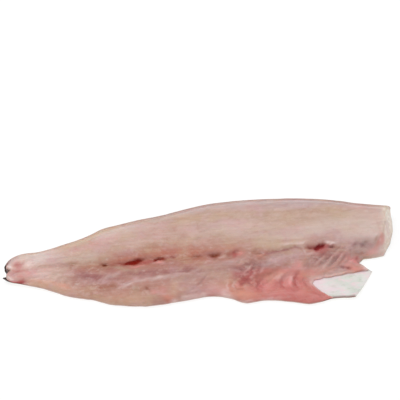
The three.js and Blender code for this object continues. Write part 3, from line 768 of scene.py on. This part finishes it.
        (206, -12, 5, 2, 0.3, 40), (212, -1, 4, 2, 0.3),
    ], strokes=[
        ([(182.6, -20), (180.8, -25), (182.4, -30)], 0.8, 0.3),
        ([(188.4, -24), (187, -27), (188.6, -30)], 0.8, 0.3),
        ([(208, -41), (224, -43), (242, -45), (262, -41)], 1.1, 0.3),
        ([(281, -18.6), (284, -18.2), (288, -17.4), (293.6, -17.2)], 0.9, 0.5),
        ([(304.4, 1.2), (307, 3.8), (309, 7.4), (309.4, 9.4)], 1.3, 0.75),
        ([(229, -18.4), (224.6, -20.6), (222.2, -24.6), (223.4, -29), (226, -31)], 1.7, 0.6),
        ([(239, -17.4), (235.4, -20), (233.8, -24.4), (234.8, -28.6), (236.4, -30.6)], 2, 0.65),
    ]),
    "salmon": dict(colour=(218, 148, 126), cover=0.9, spots=[
        (131.6, -33.6, 4.4, 2.2, 1.1, -8), (49, -16, 6, 2, 0.5, -18), (43, -13, 8, 1.8, 0.3, -16),
        (184, -31, 9, 4, 0.5), (194, -35, 10, 4, 0.8, -4), (181, -24, 6, 5, 0.4, 20), (190, -28, 6, 3, 0.4),
        (219, -18.4, 8, 2.6, 0.8, 10), (243, -19.6, 6, 3, 0.8), (241, -34, 5, 4, 0.4, 30),
        (213, -21, 3.4, 5, 0.5), (284, -15.6, 5, 2, 1.1, -4), (279, -12.8, 3, 1.2, 0.6, 10),
        (305, 1.6, 4, 1.6, 0.6, 40), (298, -3, 7, 1.3, 0.5, 6), (308.4, 6, 2.6, 1.5, 0.8, 60),
        (207.6, -2.6, 3, 1.6, 0.6), (182, 5, 12, 3, 0.3), (262, -14, 7, 2, 0.4, 10),
        (30, -9.6, 8, 1.4, 0.4, -10), (101, 3.4, 12, 1.6, 0.3, 6), (126, 6, 10, 2.4, 0.3),
        (150, 5, 16, 3, 0.3), (254, -17, 9, 3, 0.5, 8), (272, -11, 6, 2, 0.3, 20),
    ]),
    # A few pink spots are painted glints, such as those below the slits at x 126 and x 193
    "pink": dict(colour=(230, 154, 150), cover=0.85, spots=[
        (229.8, -24.2, 1.5, 4, 1.2, -6), (227, -26, 2.4, 3, 0.6), (210, -28, 4, 4, 0.5),
        (236, -36, 3, 2.4, 0.3), (125.6, -2.6, 3.2, 1.2, 1), (107.6, -4.8, 5, 1.1, 0.8, 8),
        (192.6, 0.4, 3.4, 1.8, 0.5), (127.6, -27, 3.4, 4, 0.4), (186.8, -25, 1.8, 3, 0.5),
        (121, -28, 3, 1.8, 0.6), (308.4, 4.2, 2.2, 1.3, 0.9, 40), (300.6, -1, 4.4, 1.5, 0.9, 12),
        (282.8, -8.8, 4, 2.2, 0.9, 20), (238, -12, 5, 3, 0.6), (247, -18, 7, 2.4, 0.6),
        (273, -6, 10, 2, 0.25), (20, -2, 4, 2, 0.5, -10), (246, -41, 8, 2, 0.4), (278, -10, 6, 3, 0.3, 20),
        (222, -36, 10, 3, 0.3, -6), (286, -9.6, 4, 2.4, 0.6, 40), (232, -14.4, 12, 2, 0.35, 4),
        (256, -15.6, 7, 1.6, 0.3, 10), (12.6, -3.8, 6, 1.3, 0.6, -6), (156, -32, 14, 2.2, 0.4, 6),
        (212, -38.6, 9, 1.4, 0.5), (171, -25, 9, 7, 0.25), (175, -31, 5, 2, 0.4, -20),
        (284, -15.4, 5, 1.7, 0.7, -4), (278, -12.8, 3, 1.2, 0.4),
    ]),
    # The pale wash is partly pale tissue, such as the belly lining, and partly painted highlights: glints on
    # wet ridges, folds and bumps
    "pale": dict(colour=(232, 206, 202), cover=0.85, spots=[
        (5.4, 6.8, 3, 1.2, 1.1, -40), (6, -4, 4.4, 0.9, 1, -24), (248.4, -26, 3, 3.4, 0.6),
        (293, -17.6, 2.6, 1.6, 0.8, -20), (126, -15.8, 2.6, 0.9, 0.6), (136, -35, 3, 1.2, 0.9),
        (222, -19.6, 9, 3, 0.4, 4), (258, -14, 8, 1.8, 0.4, 18), (247, -22.6, 4, 3, 0.3),
        (258, -20.4, 9, 1.8, 0.4, 6), (186, -22, 1.6, 2, 0.2, 30), (197, -12.4, 1.8, 1.4, 0.35),
        (201.6, -16.6, 1.6, 1, 0.4, 30), (198.6, -18.4, 1.8, 0.8, 0.25, 20), (176, -30, 3, 3.4, 0.4, -40),
        (207, -14, 3, 1, 0.4, 40), (210, -38.8, 6, 0.8, 0.5), (230.4, -22.6, 0.9, 2, 0.5, -8),
        (241, 5, 5, 0.9, 0.8, 6), (230, 4.6, 6, 0.9, 0.8), (176, -1.6, 3, 1.2, 0.5),
        (101, -19.4, 3.4, 0.9, 0.3, 16), (20, 6, 3.4, 2.4, 0.8), (307.4, 4.4, 1.2, 0.8, 0.5, 40),
        (178, -34, 5, 2, 0.7, -24), (192, -39.6, 6, 1, 0.7), (300, -3.6, 8, 1.4, 0.3, 4),
        (300, 7.6, 17, 4.4, 0.45), (302, -0.6, 7, 2.6, 0.35, 4), (287, -1, 7, 3, 0.3),
        (308, 0, 4, 3, 0.4, 50), (301, 5.4, 2.4, 1.4, 0.3), (304, 7.6, 2, 1.4, 0.4),
        (66, -14, 5, 2.4, 0.25, -10),
    ], strokes=[
        (LINING_LINES[0], 1.3, 0.3), ([(260.4, 4.6), (263.6, 4.4), (267, 5.2)], 0.8, 1.8),
        ([(263.4, 2.6), (266.6, 3.8), (270.4, 3.2)], 0.8, 1.8),
        ([(270, 1), (271.4, 6), (273, 11)], 2.2, 0.35), ([(244, -5), (251, -3.4), (257, -4)], 1.2, 0.35),
        ([(241, 1.6), (243.6, -1), (244.4, -5)], 0.8, 0.5),
        ([(248, -28), (253, -33), (260, -38.6)], 1.3, 0.6),
        ([(250, -22.4), (262, -20.6), (276, -19)], 0.9, 0.4), (LINING_LINES[1], 1.6, 0.25),
        ([(180, -19.6), (178, -24.6), (180, -30)], 0.9, 0.4),
        ([(185.4, -20), (183.4, -25), (185.4, -30)], 0.9, 0.4),
        ([(140, -33.4), (150, -32.6), (164, -31)], 1.2, 0.7),
        ([(288, -12.2), (291, -14.4), (294.4, -17)], 1.7, 0.8),
    ]),
    "dusk": dict(colour=(174, 110, 96), cover=0.85, spots=[
        (208, -17.4, 6, 2.4, 0.8, 12), (215, -16.4, 6, 1.8, 0.7, 16), (222, -14, 6, 1.4, 0.4, 10),
        (203, -21, 4, 2.4, 0.4), (95, -0.4, 6, 2.4, 0.6, 4), (71, 0, 6, 3, 0.4), (171, 0.6, 5, 2, 0.8),
        (208, -4, 3, 2, 0.3), (290, -3.4, 9, 1.5, 0.5), (303.6, 4.6, 2, 1.2, 0.45, 50),
        (298, 1, 2.6, 1.2, 0.25), (90, -29.4, 9, 3, 0.3, -12), (126, -26, 7, 3, 0.3), (102, -25, 6, 4, 0.3),
        (103, -6, 6, 2, 0.3), (66, -22, 6, 3, 0.2, -20), (126, -6.4, 9, 2, 0.2),
    ], strokes=[
        ([(285.6, -8.2), (290, -11.4), (294, -15)], 0.8, 0.6),
    ]),
    "plum": dict(colour=(132, 86, 82), cover=0.85, spots=[
        (195.6, -9.8, 3.4, 1.1, 0.6, 10), (202, -8.8, 2, 2.6, 0.5, 10), (201, -12.8, 2.8, 1.2, 0.7, -30),
        (206, -10.4, 2.6, 1, 0.4), (190.6, -13.2, 4.4, 1, 0.5, -12), (195, -15.8, 3, 0.9, 0.4, 30),
        (211, -8.2, 2, 2, 0.3, -40), (267, -8.4, 3, 1.2, 0.5, 34), (261.6, -5, 3, 1.6, 0.4, 20),
        (274.6, -8, 3.4, 0.9, 0.5, 46), (243.6, -12, 2.6, 1.5, 0.5, 20), (250, -7, 4, 1, 0.3, 30),
        (256, -11, 4, 0.9, 0.4, 34), (262, -12.6, 4, 0.9, 0.3, 34), (178, -8.4, 7, 1, 0.2, 4),
        (146, -12, 10, 1, 0.3, 2),
    ]),
    "maroon": dict(colour=(128, 36, 38), cover=1, spots=[
        (254, -0.4, 2.2, 2, 0.55), (258, 0.8, 3.6, 1.6, 0.5), (266, 0.6, 2.8, 1.1, 0.5),
        (249, 1, 3.4, 1, 0.2), (195, -22, 4.4, 1.2, 0.2, 6),
    ], strokes=[
        ([(251, 0), (253.4, 0.6), (256, 1.4), (259, 2.3), (263, 3)], 1.3, 1.1),
    ]),
    "umber": dict(colour=(120, 56, 34), cover=1, spots=[
        (171, 0.9, 4.6, 1.7, 1, 4), (171.6, -2, 1.6, 2.4, 0.2), (82, -0.3, 2.6, 1.3, 1.2, -18),
        (95.6, 0.2, 3, 1.2, 0.2), (125.6, 1, 4, 1.3, 0.3), (248.6, 0.8, 3, 1.1, 0.5),
        (156.4, 0.6, 3.4, 1.1, 0.55), (203, 1.6, 2.4, 1, 0.2, 10), (182.4, -2, 1.8, 2.4, 0.2),
        (55, 1.6, 3, 1.4, 0.2), (115, -25, 2.4, 1.2, 0.3, -30), (208, -1, 4, 0.8, 0.2, 10),
    ]),
    "blood": dict(colour=(128, 22, 8), cover=1, spots=[
        (82, -0.2, 3, 1.4, 0.2, -18), (104, -1.5, 5, 1.8, 0.8, 6), (108, -0.4, 3, 1.3, 0.5, 10),
        (99.6, -0.8, 2.6, 1.3, 0.5), (95.6, -0.2, 3, 1.3, 0.35), (137.6, 1.8, 3, 0.9, 0.1, 4),
        (187.6, 0.9, 3, 1.6, 0.15, 10), (137, 1.6, 3.4, 1, 0.4, 4), (126, 0.4, 4, 1.5, 0.45),
        (14, -8.8, 3.6, 1.2, 0.7, -14), (278, -14.6, 2.4, 0.8, 0.45, -10), (286.4, -7.4, 1.8, 0.9, 0.4, 20),
        (131, -34.6, 2.4, 1, 0.3),
    ], strokes=[
        ([(98.8, -1), (101.4, -0.2), (104, 0.8), (107.4, 1.6), (111, 2), (114.4, 1.8)], 1.3, 1.15),
        ([(120, -1), (122.6, 0.4), (125.6, 1.5), (128.6, 1.2), (132, 0)], 1.4, 0.7),
        ([(85, -0.8), (90, -1.2), (97, -1)], 1.3, 0.3),
    ]),
    "dark": dict(colour=(66, 34, 30), cover=0.9, spots=[
        (265.8, 0.6, 2.6, 1.2, 0.7), (292.6, 2.6, 3.2, 1.2, 0.5, 10), (285.6, 1.4, 2, 1, 0.25),
        (82, 0, 2.2, 1, 0.6, -18), (259.8, 3.2, 1.8, 0.8, 0.1, 12), (273.4, -14, 1.8, 0.7, 0.3),
        (125.6, 1.4, 3.6, 1, 0.45, 4), (101, -0.2, 2, 0.8, 0.4, 20), (248.6, 1, 3, 0.9, 0.2),
        (111.4, 2, 2.6, 0.7, 0.3, 4),
    ], strokes=[
        # the stroke at the tail end's hook is partly the skin's dark edge and partly painted shadow
        ([(0.8, 7.4), (1.8, 5), (3.6, 4), (7, 3)], 1.3, 1.7),
    ]),
}

# These washes stay clear of the mottling
OVER_MOTTLING = ["red", "salmon", "pink", "pale", "dusk", "plum", "maroon", "umber", "blood", "dark"]


# Marks on the skin, where a stroke also says over what length its ends thin out
FRAYED = {"strokes": [([(287, -8.4), (293, -13.4), (298.4, -18.4)], 0.7, 0.5, 1)]}
BLUSHED = {
    "spots": [(249, -28, 6, 7, 1), (262, -32, 7, 3.4, 0.9, 10)],
    "strokes": [([(250, -22.8), (262, -21.4), (277, -18.6), (293, -17)], 1.6, 0.9, 1)],
}
DARK_TIPS = {"strokes": [
    ([(-1.6, -0.4), (1, -3.4), (3.2, -5.6), (6, -7.4)], 2.8, 1.4, 2),
    # the hook at the tail end: partly the skin's dark edge, partly painted shadow
    ([(1.2, 9.6), (0.2, 7.4), (1, 5), (3, 3.2)], 1.9, 1.2, 1),
]}
SHADED_FACE = (306.6, 3, 5, 3.4, 0.9, 50)  # where the head cut stays as dark as the cut side


def zones(x, y):
    """The wide washes, which follow the fillet's build. Each fades in or out between two places along the
    fillet or across it."""
    wx, wy = warp(x, y, 2.4, 14, 161)
    belly = smooth(-wy, -4, 6) * smooth(wx, 38, 66) * (1 - 0.5 * smooth(wx, 246, 274))
    # the crease mask: partly painted shade on the slope down to the blood line
    above = np.exp(-((np.maximum(0, wy - 1) / 9.5) ** 2)) * np.exp(-((np.maximum(0, 1 - wy) / 6.4) ** 2))
    length = smooth(wx, 64, 106) * (1 - 0.45 * smooth(wx, 150, 180)) * (1 - 0.8 * smooth(wx, 190, 216))
    upper = -13 - 1.5 * smooth(wx, 190, 240) - 7 * smooth(wx, 238, 250)
    flushed = smooth(upper - wy, -2.5, 4) * smooth(wx, 176, 206) * (1 - smooth(wx, 262, 272))
    return {"belly": belly, "crease": above * length, "flushed": flushed}


def marks(x, y, layer):
    """How strongly a layer's spots and strokes show at each place."""
    spots = sum(mound(x, y, *spot) for spot in layer.get("spots", []))
    return spots + sum(stroke(x, y, *line) for line in layer.get("strokes", []))


def coordinates(mesh):
    flat = np.empty(len(mesh.vertices) * 3)
    mesh.vertices.foreach_get("co", flat)
    return flat.reshape(-1, 3)


def set_attributes(mesh, **layers):
    for name, values in layers.items():
        layer = mesh.attributes.new(name, "FLOAT", "POINT")
        layer.data.foreach_set("value", np.asarray(values, np.float32))


def paint_flesh(mesh):
    x, y = coordinates(mesh)[:, :2].T
    wide = zones(x, y)
    wx, wy = warp(*warp(x, y, 0.9, 5, 131), 0.4, 1.8, 151)
    for name, wash in WASHES.items():
        amount = np.clip(marks(wx, wy, wash), 0, 1.2) + wide.get(name, 0)
        set_attributes(mesh, **{name: amount})
    # The head cut is made paler: partly its own colour, partly painted light on a face turned away from the
    # lamps
    wavering = 2.4 * rough_noise(x, y, 7, 5, 171)
    face = 1 - smooth(body_height(x, y) - skin_height(x, y) - LIP - head_face(x, y) + wavering, 4, -8)
    face = face * smooth(x, 290, 306) * smooth(y, -7, 3) * (1 - mound(x, y, *SHADED_FACE))
    # Painted light: the flesh is made paler along the back edge, where the steep side falls into shade
    shoulder = np.exp(-((back_edge(x) - y) / 1.6) ** 2) * smooth(x, 4, 20)
    # Painted light: the lip colour lifts the cut wall by the bare flap, which falls into shade
    lip = 1 - smooth(cut_distance(x, y)[0], 0.5, 1.8)
    bands, tangled = between_bands(x, y), tangle(x, y)
    set_attributes(mesh, cut_face=face, lip=lip, shoulder=shoulder, bands=bands, tangle=tangled)


def paint_skin(mesh):
    x, y, z = coordinates(mesh).T
    normals = np.empty(len(mesh.vertices) * 3)
    mesh.vertices.foreach_get("normal", normals)
    normals = normals.reshape(-1, 3)
    turn = back_turn(x, y)
    inside = smooth(normals[:, 2] * np.cos(turn) - normals[:, 1] * np.sin(turn), -0.2, 0.5)
    length = skin_arc_length(x, y)
    height, rim, number = scale_cells(x, length)
    whole = skin_arc_length(x, back_edge(x)) - belly_edge(x)
    set_attributes(mesh, inside=inside, scale_rim=rim, scale_top=height, scale_number=number,
                   across=(length - belly_edge(x)) / whole)
    from_belly = y - belly_edge(x)
    # Partly painted light: the skin's rims along the belly and the back are made pale where they are seen at
    # a grazing angle and fall into shade
    by_belly = (1 - smooth(from_belly, 1.0, 3.2)) * smooth(x, 4, 16)
    by_back = (1 - smooth(back_rim(x) - z, 0.2, 2.6)) * (y > 0)
    by_edge = np.clip(by_belly + by_back, 0, 1) * (1 - smooth(x, 256, 264) * (y < -9))
    # A dark red line along the bare flap's belly edge, at the tail end and by the notch; along the flap it is
    # partly a painted shadow line
    fray = (1 - smooth(from_belly, 0.9, 2.1)) * smooth(x, 250, 256) * (1 - smooth(x, 278, 281))
    fray = fray + (1 - smooth(from_belly, 1.6, 3.2)) * (1 - smooth(x, 13, 19)) + marks(x, y, FRAYED)
    blush, dark = [np.clip(marks(x, y, layer), 0, 1) for layer in (BLUSHED, DARK_TIPS)]
    set_attributes(mesh, rim=by_edge, fray=fray * np.minimum(1, 2 * inside), blush=blush, dark_edge=dark)


# Materials

def linear(red, green, blue):
    """A colour given as it shows on a screen, from 0 to 255, for the shader."""
    def one(c):
        c = c / 255
        return c / 12.92 if c <= 0.04045 else ((c + 0.055) / 1.055) ** 2.4
    return (one(red), one(green), one(blue), 1.0)


class Nodes:
    """A material's node tree, with short calls for what the materials here need. Each takes numbers or
    other nodes' outputs."""

    def __init__(self, name):
        self.material = bpy.data.materials.new(name)
        self.material.use_nodes = True
        self.tree = self.material.node_tree
        self.shader = self.tree.nodes["Principled BSDF"]
        self.place = self.tree.nodes.new("ShaderNodeTexCoord").outputs["Object"]

    def link(self, value, socket):
        if isinstance(value, bpy.types.NodeSocket):
            self.tree.links.new(value, socket)
        else:
            socket.default_value = value

    def node(self, kind, inputs, **settings):
        node = self.tree.nodes.new("ShaderNode" + kind)
        for name, value in settings.items():
            setattr(node, name, value)
        for name, value in inputs.items():
            self.link(value, node.inputs[name])
        return node

    def attribute(self, name):
        return self.node("Attribute", {}, attribute_name=name).outputs["Fac"]

    def math(self, operation, a, b):
        return self.node("Math", {0: a, 1: b}, operation=operation).outputs[0]

    def times(self, a, b):
        return self.math("MULTIPLY", a, b)

    def ramp(self, value, low, high, to_low=0.0, to_high=1.0):
        inputs = {"Value": value, "From Min": low, "From Max": high, "To Min": to_low, "To Max": to_high}
        return self.node("MapRange", inputs, interpolation_type="SMOOTHSTEP").outputs["Result"]

    def mapped(self, scale, location):
        inputs = {"Scale": scale, "Location": location, "Vector": self.place}
        return self.node("Mapping", inputs).outputs[0]

    def noise(self, size, stretch, detail, roughness, seed):
        """Noise with bumps of a size in metres, longer where stretch is under 1."""
        place = self.mapped(stretch, (seed, 0.37 * seed, 0.71 * seed))
        inputs = {"Vector": place, "Scale": 1 / size, "Detail": detail, "Roughness": roughness}
        return self.node("TexNoise", inputs).outputs["Fac"]

    def rings(self, centre, flatness, pitch, wander):
        """Flattened rings round a line along x, a pitch apart and 0 to 1 across each, which wander."""
        place = self.mapped((1, flatness, 1), (0, -centre[0] * flatness, -centre[1]))
        inputs = {"Vector": place, "Scale": math.pi / 10 / pitch, "Distortion": wander}
        return self.node("TexWave", inputs, wave_type="RINGS", rings_direction="X").outputs["Fac"]

    def mix(self, share, a, b):
        node = self.node("Mix", {"Factor": share}, data_type="RGBA", clamp_factor=True)
        colours = [socket for socket in node.inputs if socket.type == "RGBA"]
        self.link(a, colours[0])
        self.link(b, colours[1])
        return next(socket for socket in node.outputs if socket.type == "RGBA")

    def layered(self, colour, *layers):
        """The colour with others laid over it in turn, each a share and a colour from 0 to 255."""
        for share, shade in layers:
            colour = self.mix(share, colour, linear(*shade))
        return colour

    def bump(self, height, distance, **under):
        return self.node("Bump", {"Height": height, "Distance": distance, **under}).outputs[0]

    def finish(self, **sockets):
        for name, value in sockets.items():
            self.link(value, self.shader.inputs[name.replace("_", " ")])
        return self.material


def flesh_material(loin):
    """The flesh, with the flakes of the head cut round the middle of the loin, its y and z in metres."""
    n = Nodes("raw_flesh")
    mottle = n.noise(0.013, (0.6, 1, 1), 4, 0.6, 3)
    fibre = n.noise(0.0021, (0.10, 1, 1), 4, 0.6, 7)
    speck = n.noise(0.0015, (0.7, 1, 1), 3, 0.6, 11)
    blotch = n.noise(0.0045, (0.7, 1, 1), 4, 0.65, 17)
    lilac = n.noise(0.011, (0.6, 1, 1), 3, 0.6, 43)
    straw = n.noise(0.013, (0.5, 1, 1), 3, 0.6, 53)
    knots = n.noise(0.0036, (0.7, 1, 1), 2, 0.5, 61)
    flakes = n.rings(loin, 0.6, 0.0031, 7)
    ragged = n.ramp(blotch, 0.3, 0.7, 0.75, 1.2)
    cut_face, tangled, flushed = n.attribute("cut_face"), n.attribute("tangle"), n.attribute("flushed")
    plain = n.ramp(flushed, 0.2, 0.9, 1, 0.3)

    def washes(names):
        amounts = [n.times(n.times(n.attribute(name), ragged), WASHES[name]["cover"]) for name in names]
        return [(amount, WASHES[name]["colour"]) for amount, name in zip(amounts, names)]

    colour = n.mix(n.ramp(mottle, 0.35, 0.65), linear(194, 160, 144), linear(212, 181, 170))
    colour = n.layered(colour, *washes([name for name in WASHES if name not in OVER_MOTTLING]))
    colour = n.layered(
        colour,
        (n.times(n.attribute("bands"), 0.07), (224, 196, 186)),
        # the head cut: partly its own pale colour, partly painted light
        (n.times(cut_face, 0.85), (244, 226, 206)),
        (n.times(n.ramp(flakes, 0.6, 0.1, 0, 0.16), cut_face), (206, 172, 150)),
        (n.times(n.ramp(flakes, 0.8, 1, 0, 0.45), cut_face), (254, 246, 236)),
        # painted light along the back edge
        (n.times(n.attribute("shoulder"), 0.75), (232, 212, 204)),
        # painted light on the shaded cut wall by the flap
        (n.times(n.attribute("lip"), 0.75), (246, 182, 174)),
        (n.times(n.ramp(lilac, 0.5, 0.66, 0, 0.38), plain), (208, 166, 170)),
        (n.times(n.ramp(straw, 0.5, 0.68, 0, 0.28), plain), (206, 180, 144)),
        (n.ramp(fibre, 0.4, 0.75, 0, 0.14), (170, 118, 104)),
        (n.ramp(fibre, 0.55, 0.3, 0, 0.10), (232, 208, 198)),
        (n.ramp(blotch, 0.52, 0.72, 0, 0.30), (184, 128, 116)),
        (n.times(n.ramp(blotch, 0.46, 0.28, 0, 0.24), plain), (226, 204, 198)),
        (n.times(n.ramp(knots, 0.46, 0.62, 0, 0.7), tangled), (150, 78, 76)),
        (n.times(n.ramp(knots, 0.44, 0.3, 0, 0.6), tangled), (220, 172, 164)),
        (n.times(n.times(n.ramp(speck, 0.60, 0.74), n.math("ADD", flushed, 0.12)), 0.4), (150, 60, 54)),
    )
    colour = n.layered(colour, *washes(OVER_MOTTLING))
    dull = n.math("MAXIMUM", n.attribute("blood"), n.attribute("umber"))
    dull = n.math("MAXIMUM", dull, n.attribute("maroon"))
    rough = n.math("SUBTRACT", n.ramp(mottle, 0.3, 0.7, 0.34, 0.5), n.times(dull, 0.1))
    normal = n.bump(fibre, 0.00014, Normal=n.bump(blotch, 0.0007))
    normal = n.bump(speck, 0.00016, Normal=normal)
    gleam = n.ramp(dull, 0.1, 0.6, 0.45, 0.12)
    coat = n.ramp(dull, 0.1, 0.6, 0.30, 0.02)
    return n.finish(Base_Color=colour, Roughness=rough, Normal=normal, Subsurface_Weight=0.18,
                    Subsurface_Radius=(1.0, 0.35, 0.25), Subsurface_Scale=0.002, Coat_Weight=coat,
                    Coat_Roughness=0.16, Specular_IOR_Level=gleam, IOR=1.38)


def skin_material():
    n = Nodes("scaled_skin")
    patches = n.noise(0.020, (0.8, 1, 1), 3, 0.6, 23)
    saddle = n.noise(0.032, (1, 0.35, 1), 3, 0.5, 29)
    grain = n.noise(0.0012, (1, 1, 1), 3, 0.6, 31)
    wisps = n.noise(0.004, (0.5, 1, 1), 4, 0.65, 37)
    across = n.math("ADD", n.attribute("across"), n.ramp(patches, 0.2, 0.8, -0.08, 0.08))
    centre = n.mix(n.ramp(across, 0.22, 0.44), linear(236, 230, 200), linear(206, 196, 116))
    centre = n.layered(centre, (n.ramp(across, 0.42, 0.62), (172, 152, 76)),
                       (n.ramp(across, 0.68, 0.92), (104, 96, 62)))
    edge = n.mix(n.ramp(across, 0.24, 0.46), linear(222, 214, 184), linear(128, 112, 52))
    edge = n.layered(edge, (n.ramp(across, 0.42, 0.68), (58, 48, 22)),
                     (n.ramp(across, 0.74, 0.95), (40, 37, 26)))
    centre = n.mix(n.ramp(n.attribute("scale_number"), 0, 1, 0, 0.5), centre, edge)
    dark = n.math("MAXIMUM", n.attribute("scale_rim"), n.ramp(n.attribute("scale_top"), 0.35, 0.12, 0, 0.7))
    blot = n.times(n.ramp(saddle, 0.52, 0.66, 0, 0.55), n.ramp(across, 0.4, 0.7))
    colour = n.layered(n.mix(dark, centre, edge), (blot, (52, 46, 30)),
                       (n.ramp(grain, 0.3, 0.7, 0, 0.18), (30, 26, 16)))
    inner = n.mix(n.ramp(patches, 0.3, 0.7), linear(231, 229, 226), linear(209, 214, 204))
    inner = n.layered(inner, (n.ramp(wisps, 0.48, 0.64, 0, 0.8), (238, 214, 218)),
                      (n.ramp(wisps, 0.46, 0.3, 0, 0.8), (196, 204, 188)),
                      (n.times(n.attribute("blush"), 0.8), (238, 212, 220)))
    colour = n.mix(n.attribute("inside"), colour, inner)
    # the pale rims of the skin are partly painted light on edges seen at a grazing angle
    rim = n.mix(n.ramp(wisps, 0.35, 0.65), linear(226, 202, 196), linear(212, 186, 174))
    # the dark red edge line is partly painted shadow along the bare flap's lower edge
    colour = n.layered(n.mix(n.attribute("rim"), colour, rim), (n.attribute("fray"), (122, 62, 60)),
                       (n.attribute("dark_edge"), (44, 26, 24)))
    rough = n.ramp(patches, 0.3, 0.7, 0.28, 0.42)
    return n.finish(Base_Color=colour, Roughness=rough, Normal=n.bump(grain, 0.0001), Subsurface_Weight=0.05,
                    Subsurface_Radius=(1.0, 0.6, 0.4), Subsurface_Scale=0.0012, Coat_Weight=0.25,
                    Coat_Roughness=0.16)


def floor_material():
    n = Nodes("white_floor")
    return n.finish(Base_Color=(0.3, 0.3, 0.3, 1), Roughness=0.9, Specular_IOR_Level=0.0,
                    Emission_Color=(1, 1, 1, 1), Emission_Strength=0.76)


# Placing

LOIN = (17, 8)  # the middle of the loin at the head end: y and z


def place(piece, shift, material, node, slot):
    """Moves a piece's mesh from millimetres on the fillet to its place in the frame."""
    points = (coordinates(piece.data) - shift) * MM
    piece.data.vertices.foreach_set("co", points.ravel())
    piece.data.polygons.foreach_set("use_smooth", np.ones(len(piece.data.polygons), bool))
    piece.data.set_sharp_from_angle(angle=SMOOTH_ANGLE)
    piece.data.materials.clear()
    piece.data.materials.append(material)
    piece.data.update()
    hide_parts(node)
    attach(piece, "root")


skin = make_skin()
flesh = make_flesh()
paint_skin(skin.data)
paint_flesh(flesh.data)

# The frame's origin is under the middle of its box, and the skin fills that box in plan
skin_points = coordinates(skin.data)
low, high = skin_points.min(axis=0), skin_points.max(axis=0)
skin_low, skin_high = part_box("skin")
shift = np.array([(low[0] + high[0]) / 2, (low[1] + high[1]) / 2, low[2]])
shift -= np.array([(skin_low.x + skin_high.x) / 2, (skin_low.y + skin_high.y) / 2, skin_low.z]) / MM
place(skin, shift, skin_material(), "skin", "scaled_skin")
loin = [(LOIN[0] - shift[1]) * MM, (LOIN[1] - shift[2]) * MM]
place(flesh, shift, flesh_material(loin), "flesh", "raw_flesh")


# Stage, camera and light

FLOOR_HALF, FLOOR_DROP = 4.0, 0.0003  # in metres, like the places of the lights
VIEW = (-4.5, 52)
VIEW_LENS = 85
VIEW_SENSOR = 36
VIEW_PIXEL = 0.86  # millimetres across one pixel at the aim
VIEW_PIXELS = 400
VIEW_AIM = (164.2, 67.0, 0.0)  # on the fillet, in millimetres


def facing(name, data, azimuth, elevation, distance, centre=(0, 0, 0)):
    """A camera or lamp that looks at a centre from a direction in degrees, 0 being the camera's side."""
    a, e = math.radians(azimuth), math.radians(elevation)
    towards = Vector((math.sin(a) * math.cos(e), -math.cos(a) * math.cos(e), math.sin(e)))
    thing = new_object(name, data)
    thing.location = Vector(centre) + towards * distance
    thing.rotation_euler = (-towards).to_track_quat("-Z", "Y").to_euler()
    return thing


def soft_light(name, azimuth, elevation, distance, size, power, colour):
    lamp = bpy.data.lights.new(name, "AREA")
    lamp.size = size
    lamp.energy = power
    lamp.color = colour
    facing(name, lamp, azimuth, elevation, distance)


signs = ((-1, -1), (1, -1), (1, 1), (-1, 1))
corners = [(x * FLOOR_HALF, y * FLOOR_HALF, -FLOOR_DROP) for x, y in signs]
floor = mesh_object("floor", corners, [(0, 1, 2, 3)])
floor.data.materials.append(floor_material())

lens = bpy.data.cameras.new("camera")
lens.lens = VIEW_LENS
lens.sensor_width = VIEW_SENSOR
distance = VIEW_PIXELS * VIEW_PIXEL * MM / (VIEW_SENSOR / VIEW_LENS)
aim = [(VIEW_AIM[i] - shift[i]) * MM for i in range(3)]
bpy.context.scene.camera = facing("camera", lens, *VIEW, distance, aim)

soft_light("key", -112, 54, 1.2, 0.7, 6.0, (1.0, 0.99, 0.97))
soft_light("back", 140, 54, 1.3, 1.0, 3.6, (0.98, 0.99, 1.0))
soft_light("front", 10, 42, 1.4, 1.2, 2.6, (1, 1, 1))
world = bpy.data.worlds.new("studio")
world.use_nodes = True
world.node_tree.nodes["Background"].inputs["Color"].default_value = (1, 1, 1, 1)
world.node_tree.nodes["Background"].inputs["Strength"].default_value = 0.46
bpy.context.scene.world = world
bpy.context.scene.view_settings.view_transform = "Standard"
